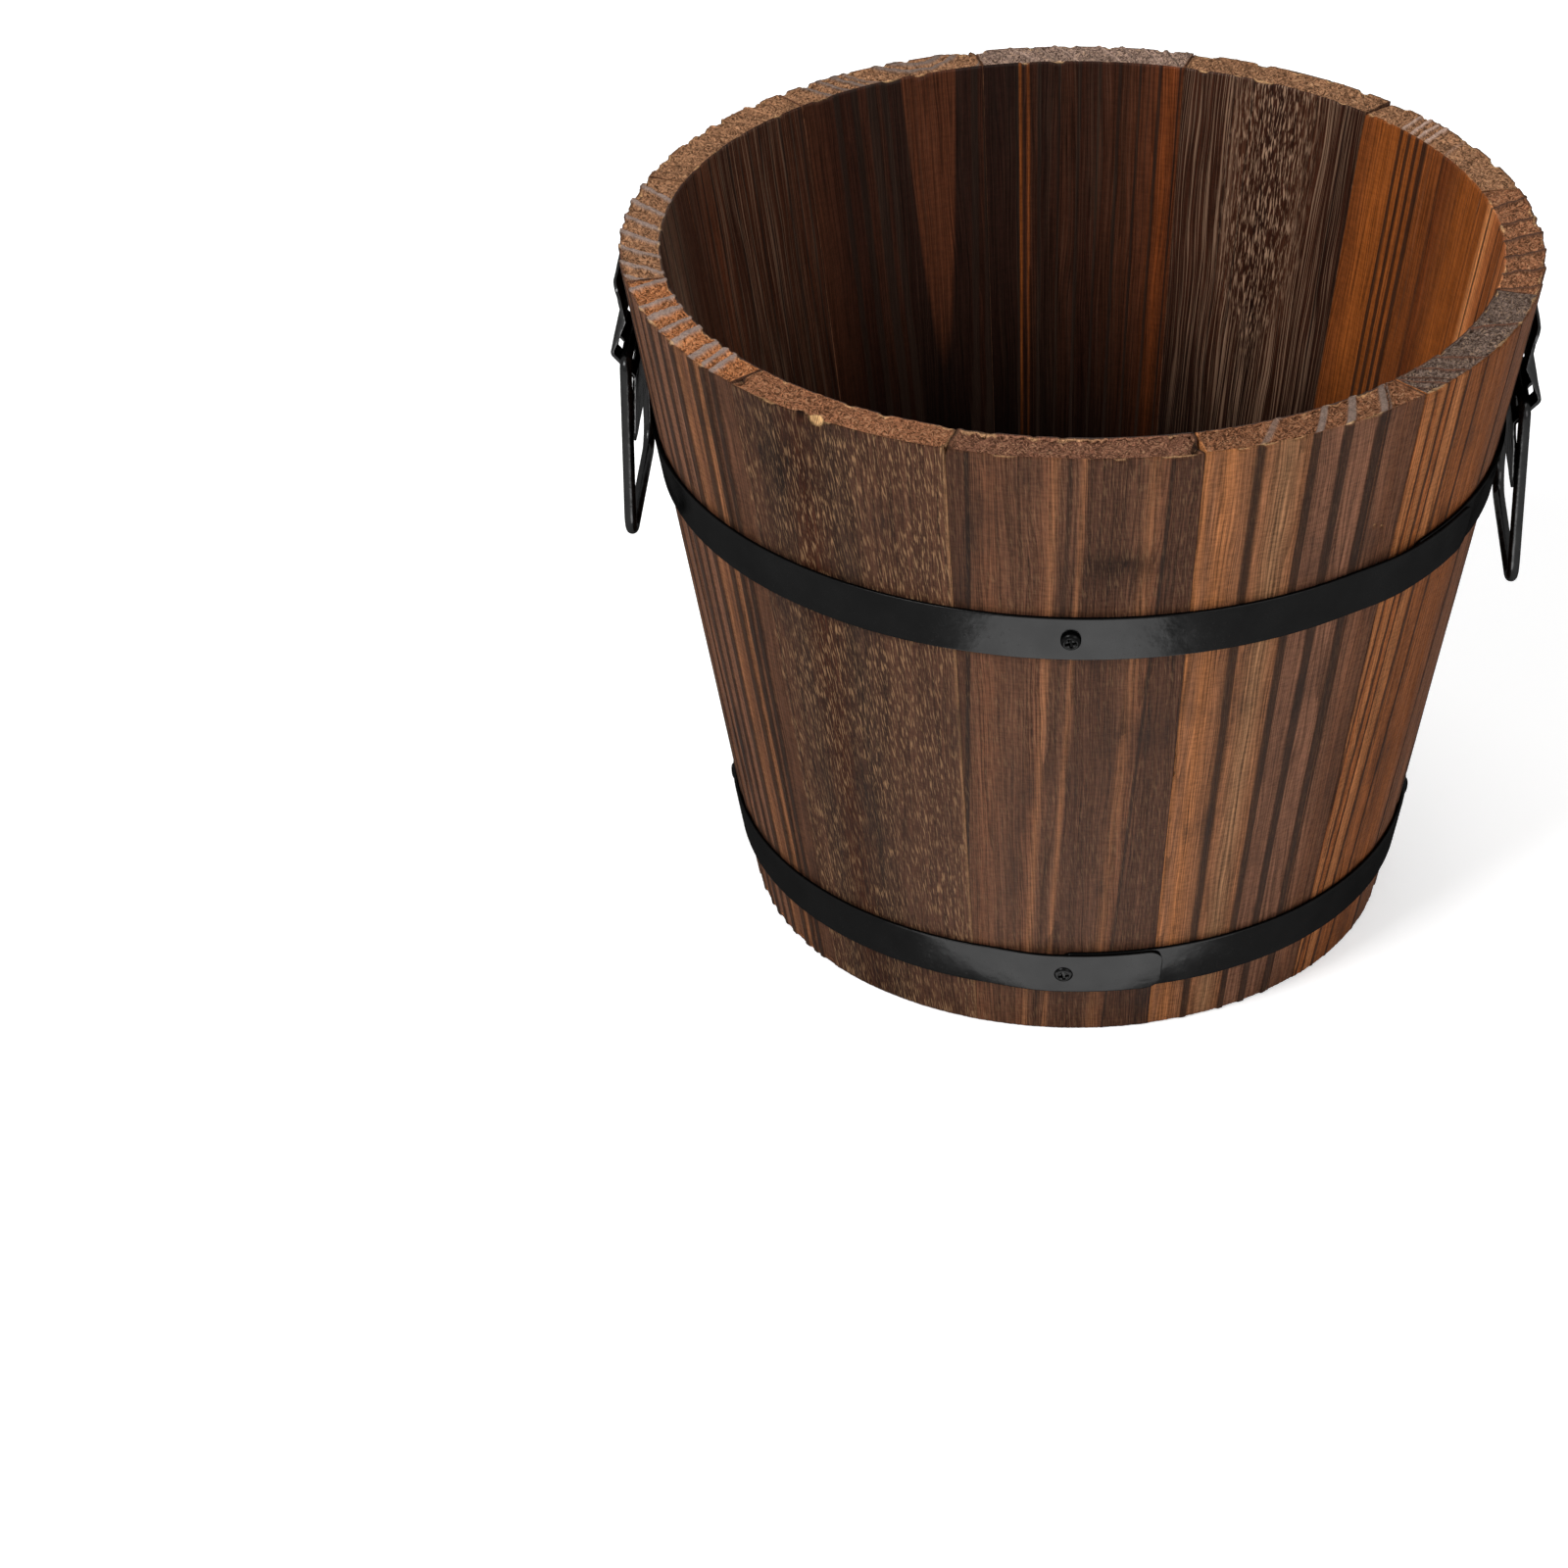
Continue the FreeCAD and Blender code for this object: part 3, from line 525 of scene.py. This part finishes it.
HOOP_FACE, SHEET_FACE = HOOP_CLEARANCE + HOOP_THICKNESS, 1.1
RIGHT_LEVEL, LEFT_LEVEL, SCREW_RISE = 189.0, 201.0, 21.8 * math.cos(TILT)
UPPER_TURNS, LOWER_TURNS = [(0, 12), (180, 55)], [(0, 12), (90, 55), (180, 33), (270, 71)]
screws = [
    make_screws("upper_hoop_screws", [(at, UPPER_LEVEL, HOOP_FACE, turn) for at, turn in UPPER_TURNS]),
    make_screws("lower_hoop_screws", [(at, LOWER_LEVEL, HOOP_FACE, turn) for at, turn in LOWER_TURNS]),
    make_screws("right_handle_screw", [(90, RIGHT_LEVEL + SCREW_RISE, SHEET_FACE, 12)]),
    make_screws("left_handle_screw", [(270, LEFT_LEVEL + SCREW_RISE, SHEET_FACE, 12)]),
]
print("screw pieces:", len(screws))

# %% [markdown]
# ## The folded brackets
# A bracket is one piece of sheet: a flange lies on the wall under a screw, a lip curls off the wall above
# it, a roof runs out to a fold, a return with two slots comes back to the wall in a valley, and a flap
# stands out below. The sheet follows this bent line, which is straight runs joined by arcs. Hammering
# left it a little uneven at its ends.


# %% Build the brackets
def bent_line(corners):
    """Points along straight runs whose corners (place, radius) are rounded by arcs that touch both runs."""
    places = [np.array(corner[:2], float) for corner in corners]
    pieces = [places[0][None]]
    for before, here, after, corner in zip(places, places[1:], places[2:], corners[1:]):
        into, out = here - before, after - here
        into, out = into / np.linalg.norm(into), out / np.linalg.norm(out)
        turn = math.atan2(into[0] * out[1] - into[1] * out[0], into @ out)
        cut = corner[2] * math.tan(abs(turn) / 2)
        centre = here - into * cut + math.copysign(corner[2], turn) * np.array([-into[1], into[0]])
        spoke = here - into * cut - centre
        angle = np.linspace(0, turn, 12)[:, None]
        across = np.array([-spoke[1], spoke[0]])
        pieces.append(centre + spoke * np.cos(angle) + across * np.sin(angle))
    line = np.concatenate(pieces + [places[-1][None]])
    length = np.concatenate([[0], np.cumsum(np.linalg.norm(np.diff(line, axis=0), axis=1))])
    return line, length


BRACKET_WIDTH, SHEET, LIP_CORNER, FLAP_CORNER = 50.0, 1.0, 6.0, 5.0
FOLDS = [(7, -29), (1.2, -3.1, 1.5), (7.2, 6.5, 2.2), (0.6, 17, 1.5), (0.6, 26, 1.5), (1.6, 30)]
SLOT_SIDES, SLOT_ENDS = (9.7, 16.5), (-1.5, 4.9)


def make_bracket(side, azimuth, level):
    """Middle of the sheet, along the rim and along the bent line, less the faces in two slots.

    A Solidify modifier then gives the sheet its thickness, and a Bevel its soft edges."""
    line, length = bent_line(FOLDS)
    fold = np.argmax(line[:, 0] * (line[:, 1] > 0))
    slot = np.interp(SLOT_ENDS, line[:fold, 1], length[:fold])
    along = np.unique(np.concatenate([length, slot, graded(0, length[-1], 0.8, 0.4)]).round(3))
    half = BRACKET_WIDTH / 2
    sides = [SLOT_SIDES, np.negative(SLOT_SIDES), np.linspace(-half, half, 64)]
    across = np.unique(np.concatenate(sides).round(3))
    i, j = np.meshgrid(np.arange(len(along) - 1), np.arange(len(across) - 1), indexing="ij")
    number = i * len(across) + j
    quads = np.stack([number, number + 1, number + len(across) + 1, number + len(across)], -1)
    middle_along, middle_across = (along[:-1] + along[1:]) / 2, np.abs(across[:-1] + across[1:]) / 2
    open_rows = (middle_along > slot[0]) & (middle_along < slot[1])
    open_columns = (middle_across > SLOT_SIDES[0]) & (middle_across < SLOT_SIDES[1])
    used, quads = np.unique(quads[~np.outer(open_rows, open_columns)], return_inverse=True)
    along, across = (grid.ravel()[used] for grid in np.meshgrid(along, across, indexing="ij"))
    off, rise = np.interp(along, length, line[:, 0]), np.interp(along, length, line[:, 1])
    above = np.clip(rise - (FOLDS[-1][1] - LIP_CORNER), 0, LIP_CORNER)
    below = np.clip(FOLDS[0][1] + FLAP_CORNER - rise, 0, FLAP_CORNER)
    corner = LIP_CORNER - np.sqrt(LIP_CORNER ** 2 - above ** 2) + below
    across = across * (1 - corner / half)
    wobble = 0.5 * speckle(np.stack([across * 0.09, along * 0.12, 0 * along], -1), azimuth) - 0.25
    radius, height = off_wall(level, off + wobble * ease(np.abs(across), 4, 20), rise)
    turn = math.radians(azimuth)
    points = around(azimuth, radius, height) + across[:, None] * [[math.cos(turn), math.sin(turn), 0]]
    node = f"{side}_handle_bracket"
    sheet = add_piece(f"{node}_sheet", points, quads.reshape(-1, 4), "tub", node)
    thick = sheet.modifiers.new("thickness", "SOLIDIFY")
    thick.thickness, thick.offset = SHEET * 0.001, 0
    soft = sheet.modifiers.new("soft_edges", "BEVEL")
    soft.width, soft.segments, soft.angle_limit = 0.0003, 2, math.radians(50)
    return sheet


brackets = [make_bracket("right", 90, RIGHT_LEVEL), make_bracket("left", 270, LEFT_LEVEL)]
print("brackets:", [len(bracket.data.polygons) for bracket in brackets])

# %% [markdown]
# ## The ring handles
# A ring is bent from one round wire and hangs by its top bar in the bracket's fold, where its two ends
# meet. Its skin is a circle carried along the bent line of the wire, drawn to a round end at both ends.

# %% Build the rings
WIRE, WIRE_END, WIRE_SIDES = 2.0, 0.6, 24
PIVOT_OFF, PIVOT_RISE = 2.4, 4.2917
RING = [(0.5, 0), (28.5, 0, 3.5), (34.5, -63, 9), (-34.5, -63, 9), (-28.5, 0, 3.5), (-0.5, 0)]


def make_ring(side, azimuth, level):
    """Circle of the wire's radius at places along the bent line, square to the line's heading."""
    line, length = bent_line(RING)
    places = np.unique(np.concatenate([length, graded(0, length[-1], 1.2, WIRE_END)]).round(3))
    middle = np.stack([np.interp(places, length, line[:, 0]), np.interp(places, length, line[:, 1])], -1)
    heading = np.gradient(middle, places, axis=0)
    heading = heading / np.linalg.norm(heading, axis=1, keepdims=True)
    to_end = np.minimum(places, length[-1] - places)
    radius = WIRE * np.sqrt(np.clip(1 - np.clip(1 - to_end / WIRE_END, 0, 0.999) ** 2, 0, 1))
    angle = np.linspace(0, 2 * math.pi, WIRE_SIDES, endpoint=False)
    square = np.stack([-heading[:, 1], heading[:, 0]], -1)
    flat = middle[:, None] + (radius[:, None] * np.cos(angle))[..., None] * square[:, None]
    pivot_radius, pivot_height = off_wall(level, PIVOT_OFF, PIVOT_RISE)
    off = pivot_radius + radius[:, None] * np.sin(angle)
    turn = math.radians(azimuth)
    points = around(azimuth, off, pivot_height + flat[..., 1])
    points = points + flat[..., :1] * [math.cos(turn), math.sin(turn), 0]
    faces = [face for part in grid_faces(len(places), WIRE_SIDES) for face in part.tolist()]
    node = f"{side}_handle_ring"
    return add_piece(f"{node}_wire", points.reshape(-1, 3), faces, f"{side}_ring", node)


rings = [make_ring("right", 90, RIGHT_LEVEL), make_ring("left", 270, LEFT_LEVEL)]
print("rings:", [len(ring.data.polygons) for ring in rings])

# %% [markdown]
# ## Writing shaders as sums
# A finish is a tree of shader nodes. Linking nodes by hand is long, so a small class stands for one
# socket: adding or multiplying two of them puts the Math node into the tree. Every other kind of node
# comes from one method.


# %% A socket that does sums
class Shade:
    """One output socket of a material's node tree, which can be used in Python expressions."""

    def __init__(self, tree, socket=None):
        self.tree, self.socket = tree, socket

    def node(self, kind, settings=None, inputs=None, output=0):
        """Adds a node of a kind, sets it up, fills or links its inputs, and gives one of its outputs."""
        made = self.tree.nodes.new("ShaderNode" + kind)
        for name, value in (settings or {}).items():
            setattr(made, name, value)
        for name, value in (inputs or {}).items():
            if isinstance(value, Shade):
                self.tree.links.new(value.socket, made.inputs[name])
            else:
                made.inputs[name].default_value = value
        return Shade(self.tree, made.outputs[output] if made.outputs else None)

    def sum(self, operation, first, second):
        """Math node on two values."""
        return self.node("Math", {"operation": operation}, {0: first, 1: second})

    def __add__(self, other):
        return self.sum("ADD", self, other)

    def __sub__(self, other):
        return self.sum("SUBTRACT", self, other)

    def __rsub__(self, other):
        return self.sum("SUBTRACT", other, self)

    def __mul__(self, other):
        return self.sum("MULTIPLY", self, other)

    __radd__, __rmul__ = __add__, __mul__

    def step(self, low, high):
        """Smooth step from 0 at low to 1 at high."""
        inputs = {"Value": self, "From Min": low, "From Max": high}
        return self.node("MapRange", {"interpolation_type": "SMOOTHSTEP"}, inputs)

    def mix(self, first, second, factor, how="MIX"):
        """Colour between two colours, or the two blended another way."""
        return self.node("Mix", {"data_type": "RGBA", "blend_type": how}, {0: factor, 6: first, 7: second}, 2)

    def fract(self):
        """What is left of a value past its whole number."""
        return self.sum("FRACT", self, 0.0)

    def parts(self, vector):
        """The three parts of a vector."""
        split = self.node("SeparateXYZ", None, {0: vector}).socket.node
        return [Shade(self.tree, socket) for socket in split.outputs]

    def join(self, x, y, z):
        """Vector of three values."""
        return self.node("CombineXYZ", None, {0: x, 1: y, 2: z})

    def stretch(self, vector, scale):
        """Vector whose parts are multiplied, so that noise on it is drawn out."""
        return self.node("VectorMath", {"operation": "MULTIPLY"}, {0: vector, 1: scale})

    def noise(self, vector, scale, detail=2.0, rough=0.5, curl=0.0):
        """Noise from 0 to 1 on a vector that is stretched first. Curl bends its spots into worms."""
        inputs = {"Vector": self.stretch(vector, scale), "Scale": 1.0, "Detail": detail, "Roughness": rough,
                  "Distortion": curl}
        return self.node("TexNoise", None, inputs, "Fac")

    def attribute(self, name, output):
        """What a piece stores on its points under a name."""
        return self.node("Attribute", {"attribute_name": name}, None, output)


def new_material(name):
    """Empty node material and the start of its tree."""
    material = bpy.data.materials.new(name)
    material.use_nodes = True
    material.node_tree.nodes.clear()
    return material, Shade(material.node_tree)


def close_material(material, shader):
    """Links a shader to the material's output."""
    shader.node("OutputMaterial", None, {"Surface": shader})
    return material


print("shader tools ready")

# %% [markdown]
# ## Scorched and brushed wood
# The boards carry their own colours and late wood, so the material adds what is finer than the mesh:
# fibres half a millimetre wide and long as a finger, the saw's faint cross marks, ragged edges on the
# dark bands, pale flecks, scorched patches, and the pores and strands of the end grain, which also carry
# painted shade in the hollows and painted light on the crests of its bump. Most noise is stretched along
# the grain, which each board stores as a vector.

# %% Wood finish
def make_wood():
    """Wood that reads each board's stain, late wood and grain, and adds what is finer than the mesh."""
    material, start = new_material("scorched_wood_brushed")
    across, deep, up = start.parts(start.attribute("grain", "Vector"))
    fleck_amount, inside, end = start.parts(start.attribute("finish", "Vector"))
    late, stain = start.attribute("late", "Fac"), start.attribute("stain", "Color")

    # Fibres run up the board and wander a little, and flecks lean like rain
    straight = start.join(across, deep, up)
    sway = start.noise(straight, (0.06, 0.06, 0.014), 2.0)
    wavy = start.join(across + sway * 6.0, deep, up)
    leaning = start.join(across + up * 0.1 + sway * 3.0, deep, up)
    fibre = start.noise(wavy, (1.0, 1.0, 0.012), 4.0, 0.65).step(0.3, 0.7)
    fine = start.noise(wavy, (2.3, 2.3, 0.04), 3.0, 0.7).step(0.3, 0.7)
    saw = start.noise(straight, (0.25, 0.25, 1.0), 2.0, 0.6).step(0.3, 0.7)
    years = (start.noise(wavy, (0.11, 0.11, 0.0016), 1.0) * 22.0).fract()
    vein = (1 - years.step(0.03, 0.42)) * (1 - end)
    pits = start.noise(straight, (0.55, 0.55, 0.55), 2.0, 0.6, 2.2)
    grains = start.noise(straight, (0.2, 0.2, 0.2), 2.0, 0.6)
    patch = start.noise(straight, (0.045, 0.045, 0.02), 3.0, 0.6)
    rain = start.noise(leaning, (1.7, 1.7, 0.2), 2.0, 0.55).step(0.51, 0.65)
    rain = rain * (1 - patch.step(0.44, 0.62) * 0.6)
    lines = start.noise(wavy, (1.5, 1.5, 0.012), 2.0, 0.6).step(0.48, 0.62)
    scales = start.noise(wavy, (1.5, 1.5, 0.17), 2.0, 0.6).step(0.5, 0.62)

    # Light and dark fibres, then the dark bands with ragged edges, scorched patches and pale flecks
    light = (0.06 + fibre * 0.62 + fine * 0.86 + saw * 0.34 + inside * 0.5 + end * 0.85) * (1 - vein * 0.42)
    tone = start.node("CombineColor", None, {0: light, 1: light * 0.95, 2: light * (0.88 + end * 0.06)})
    colour = start.mix(stain, tone, 1.0, "MULTIPLY")
    band = (late + (fibre - 0.5) * 0.3 + (fine - 0.5) * 0.2).step(0.3, 0.62) * (1 - end)
    colour = start.mix(colour, (0.018, 0.010, 0.007, 1), band * 0.85)
    scorch = patch.step(0.52, 0.72) * (1 - end) * (0.5 - inside * 0.4)
    colour = start.mix(colour, (0.014, 0.010, 0.009, 1), scorch)
    streaks = lines + (scales - lines) * fleck_amount.step(0.6, 1.0)
    fleck = (rain + (streaks - rain) * inside) * fleck_amount * (1 - end)
    pale = start.mix((0.34, 0.19, 0.095, 1), (0.46, 0.28, 0.18, 1), inside)
    colour = start.mix(colour, pale, fleck * 0.86)

    # End grain: dark pores that are also painted shade in the hollows of the bump, and pale strands that are
    # also painted light on its crests, on the soft wood more than on the hard bars
    torn = end * (1 - late.step(0.3, 0.8) * 0.8)
    # Dark pores, and painted shade where the bump's pits are low.
    pores_and_hollow_shade = (1 - pits.step(0.36, 0.6)) * torn
    colour = start.mix(colour, (0.035, 0.016, 0.008, 1), pores_and_hollow_shade * 0.85)
    # Pale strands, and painted light where the bump's pits are high.
    strands_and_crest_light = pits.step(0.54, 0.66) * torn
    colour = start.mix(colour, (0.5, 0.31, 0.17, 1), strands_and_crest_light * 0.5)

    rough = 0.8 - inside * 0.3 + (fine - 0.5) * 0.16
    height = fine * 0.35 + fibre * 0.5 - vein * 0.4 + (pits * 5 + grains * 3) * torn + fleck * 0.3
    normal = start.node("Bump", None, {"Strength": 0.9, "Distance": 0.0007, "Height": height})
    shader = start.node("BsdfPrincipled", None, {
        "Base Color": colour, "Roughness": rough, "Coat Weight": inside * 0.07, "Coat Roughness": 0.35,
        "Specular IOR Level": 0.05, "Normal": normal})
    return close_material(material, shader)


wood = make_wood()
for stave in staves:
    stave.data.materials.append(wood)
print("wood nodes:", len(wood.node_tree.nodes))

# %% [markdown]
# ## The bottom board
# One board of pale softwood, scorched over part of its width. Its grain runs one way, so the noise is
# stretched along X, and the scorch comes and goes across the grain.

# %% Bottom wood finish
def make_bottom_wood():
    """Pale board with fibres along X, year lines, and scorched patches that come and go."""
    material, start = new_material("bottom_wood_pale")
    place = start.node("TexCoord", None, None, "Object")
    fibre = start.noise(place, (12.0, 420.0, 420.0), 3.0, 0.6)
    rings = start.noise(place, (3.0, 60.0, 60.0), 2.0, 0.5)
    patch = start.noise(place, (5.0, 16.0, 16.0), 3.0, 0.6)
    pale = start.mix((0.48, 0.30, 0.13, 1), (0.62, 0.45, 0.24, 1), fibre)
    line = rings.step(0.5, 0.56) * (1 - rings.step(0.58, 0.66))
    pale = start.mix(pale, (0.30, 0.16, 0.06, 1), line * 0.6)
    colour = start.mix(pale, (0.06, 0.03, 0.018, 1), patch.step(0.46, 0.66) * 0.9)
    normal = start.node("Bump", None, {"Strength": 0.4, "Distance": 0.0005, "Height": fibre + line * 0.5})
    shader = start.node("BsdfPrincipled", None, {
        "Base Color": colour, "Roughness": 0.5 + fibre * 0.25, "Specular IOR Level": 0.35, "Normal": normal})
    return close_material(material, shader)


def dress(node, material):
    """Puts a finish on a CAD node's own object."""
    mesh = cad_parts[node].data
    mesh.materials.clear()
    mesh.materials.append(material)


dress("bottom_board", make_bottom_wood())
print("bottom board dressed")

# %% [markdown]
# ## Black paint on steel
# The hoops have a thin satin paint with faint brush marks. The brackets were dipped: their paint is thick
# and glossy and has run together in the folds. The wire and the screws lie between the two. Plain glossy
# black mirrors too much of the white room at a glancing angle, so the paint is a matte black mixed with a
# very small share of a mirror.


# %% Paint finishes
def make_paint(name, rough, gloss, ripple, size, dust):
    """Near black coating on metal: a matte black with a share of mirror (gloss) and some pale dust.

    Ripple is the depth of its waves in metres, and size how many waves a metre holds."""
    material, start = new_material(name)
    place = start.node("TexCoord", None, None, "Object")
    waves = start.noise(place, (size, size, size), 3.0, 0.5)
    grit = start.noise(place, (size * 14, size * 14, size * 14), 2.0, 0.6)
    colour = start.mix((0.001, 0.001, 0.001, 1), (0.03, 0.028, 0.026, 1), grit.step(0.62, 0.8) * dust)
    height = waves + grit * 0.06
    normal = start.node("Bump", None, {"Strength": 1.0, "Distance": ripple, "Height": height})
    rough = rough + (waves - 0.5) * 0.2 + grit.step(0.5, 0.8) * 0.1
    paint = start.node("BsdfPrincipled", None, {
        "Base Color": colour, "Roughness": rough, "Specular IOR Level": 0.0, "Normal": normal})
    mirror = start.node("BsdfPrincipled", None, {
        "Base Color": (1, 1, 1, 1), "Roughness": rough, "Metallic": 1.0, "Normal": normal})
    shader = start.node("MixShader", None, {0: gloss * (0.7 + waves * 0.6), 1: paint, 2: mirror})
    return close_material(material, shader)


paints = {
    "hoop": make_paint("hoop_paint_satin", rough=0.2, gloss=0.008, ripple=0.0004, size=70, dust=0.08),
    "screw": make_paint("screw_paint_black", rough=0.22, gloss=0.005, ripple=0.0002, size=300, dust=0.1),
    "bracket": make_paint("bracket_paint_dipped", rough=0.13, gloss=0.026, ripple=0.0008, size=110,
                          dust=0.05),
    "ring": make_paint("ring_paint_gloss", rough=0.22, gloss=0.02, ripple=0.0003, size=160, dust=0.05),
}
for pieces, paint in ((hoops, "hoop"), (screws, "screw"), (brackets, "bracket"), (rings, "ring")):
    for piece in pieces:
        piece.data.materials.append(paints[paint])
print("paints:", list(paints))

# %% [markdown]
# ## The floor
# The pot stands on a pale floor, on white. A lit white plane never comes out evenly white, so the floor
# adds a glow that only the camera and mirrors see. It is weak near the pot, where the shadow has to show,
# and stronger far away, where the lamps don't reach.


# %% Floor
def seen_directly(start):
    """1 where the camera looks straight, in a mirror or through glass, 0 for light that fills the room."""
    kinds = ("Camera", "Glossy", "Transmission")
    return sum(start.node("LightPath", None, None, f"Is {kind} Ray") for kind in kinds)


def make_floor():
    """Large plane under the pot, white to the camera, with the pot's shadow left on it."""
    side = 6.0
    corners = [(-side, -side, 0), (side, -side, 0), (side, side, 0), (-side, side, 0)]
    mesh = bpy.data.meshes.new("floor")
    mesh.from_pydata(corners, [], [(0, 1, 2, 3)])
    floor = bpy.data.objects.new("floor", mesh)
    bpy.context.scene.collection.objects.link(floor)
    material, start = new_material("floor_pale")
    seen = seen_directly(start)
    matte = start.node("BsdfDiffuse", None, {"Color": (0.82, 0.82, 0.82, 1)})
    place = start.node("TexCoord", None, None, "Object")
    far = start.node("VectorMath", {"operation": "LENGTH"}, {0: place}, "Value").step(0.5, 2.5)
    glow = start.node("Emission", None, {"Color": (1, 1, 1, 1), "Strength": seen * (0.46 + far * 0.5)})
    shader = start.node("AddShader", None, {0: matte, 1: glow})
    mesh.materials.append(close_material(material, shader))
    return floor


floor = make_floor()
print("floor:", floor.name)

# %% [markdown]
# ## The light
# A studio lights such a pot with large soft boxes: a strong one from the left, a weaker one from the
# right and one from above that reaches inside. The front of the hoops mirrors something bright that lies
# low in front of them, so a card on the floor gives that sheen, and it lights nothing else.


# %% Lamps and surroundings
def stand_at(place, right, up, back):
    """Matrix that puts an object at a place with its X, Y and Z axes along three directions."""
    rows = np.column_stack([right, up, back, place])
    return Matrix(np.vstack([rows, [0, 0, 0, 1]]).tolist())


def add_lamp(name, place, target, size, power):
    """Soft box of two side lengths at a place, facing a target."""
    lamp = bpy.data.lights.new(name, "AREA")
    lamp.shape, lamp.energy = "RECTANGLE", power
    lamp.size, lamp.size_y = size
    stand = bpy.data.objects.new(name, lamp)
    away = np.array(place) - np.array(target)
    away = away / np.linalg.norm(away)
    right = np.cross((0, 0, 1), away)
    right = right / np.linalg.norm(right)
    up = np.cross(away, right)
    stand.matrix_world = stand_at(place, right, up, away)
    bpy.context.scene.collection.objects.link(stand)
    return stand


middle = (0, 0, 0.14)
lamps = [
    add_lamp("key_lamp", (-1.3, -1.3, 2.0), middle, (1.0, 1.0), 58),
    add_lamp("fill_lamp", (1.5, -1.5, 1.2), middle, (1.3, 1.3), 23),
    add_lamp("top_lamp", (0.3, 0.4, 2.2), middle, (1.2, 1.2), 16),
]
card = add_lamp("sheen_card", (0, -0.29, 0.002), (0, -0.2901, 1), (0.2, 0.33), 1.6)
card.visible_camera = card.visible_diffuse = False
world = bpy.data.worlds.new("studio")
bpy.context.scene.world = world
world.use_nodes = True
sky = Shade(world.node_tree)
world.node_tree.nodes.clear()
strength = seen_directly(sky) * 0.8 + 0.2
light = sky.node("Background", None, {"Color": (1, 1, 1, 1), "Strength": strength})
sky.node("OutputWorld", None, {"Surface": light})
print("lamps:", [lamp.name for lamp in lamps])

# %% [markdown]
# ## The camera
# The camera was solved from the photograph: its place, its heading and a long lens, so the pot lies in
# the frame as it does there. A focal length found in pixels becomes millimetres when it is scaled by the
# sensor's and the picture's width.

# %% Camera
PICTURE_PIXELS, FOCAL_PIXELS, SENSOR = 1600, 4372.99, 36
yaw, pitch, roll = (math.radians(angle) for angle in (-4.539, 33.459, -1.236))
forward = np.array([math.sin(yaw) * math.cos(pitch), math.cos(yaw) * math.cos(pitch), -math.sin(pitch)])
level = np.array([math.cos(yaw), -math.sin(yaw), 0])
upright = np.cross(level, forward)
right = math.cos(roll) * level + math.sin(roll) * upright
above = math.cos(roll) * upright - math.sin(roll) * level
camera = bpy.data.objects.new("camera", bpy.data.cameras.new("camera"))
camera.data.sensor_width = SENSOR
camera.data.lens = SENSOR * FOCAL_PIXELS / PICTURE_PIXELS
place = (0, -1.26076, 0.85855)
camera.matrix_world = stand_at(place, right, above, -forward)
bpy.context.scene.collection.objects.link(camera)
bpy.context.scene.camera = camera
print("lens:", round(camera.data.lens, 2), "mm")
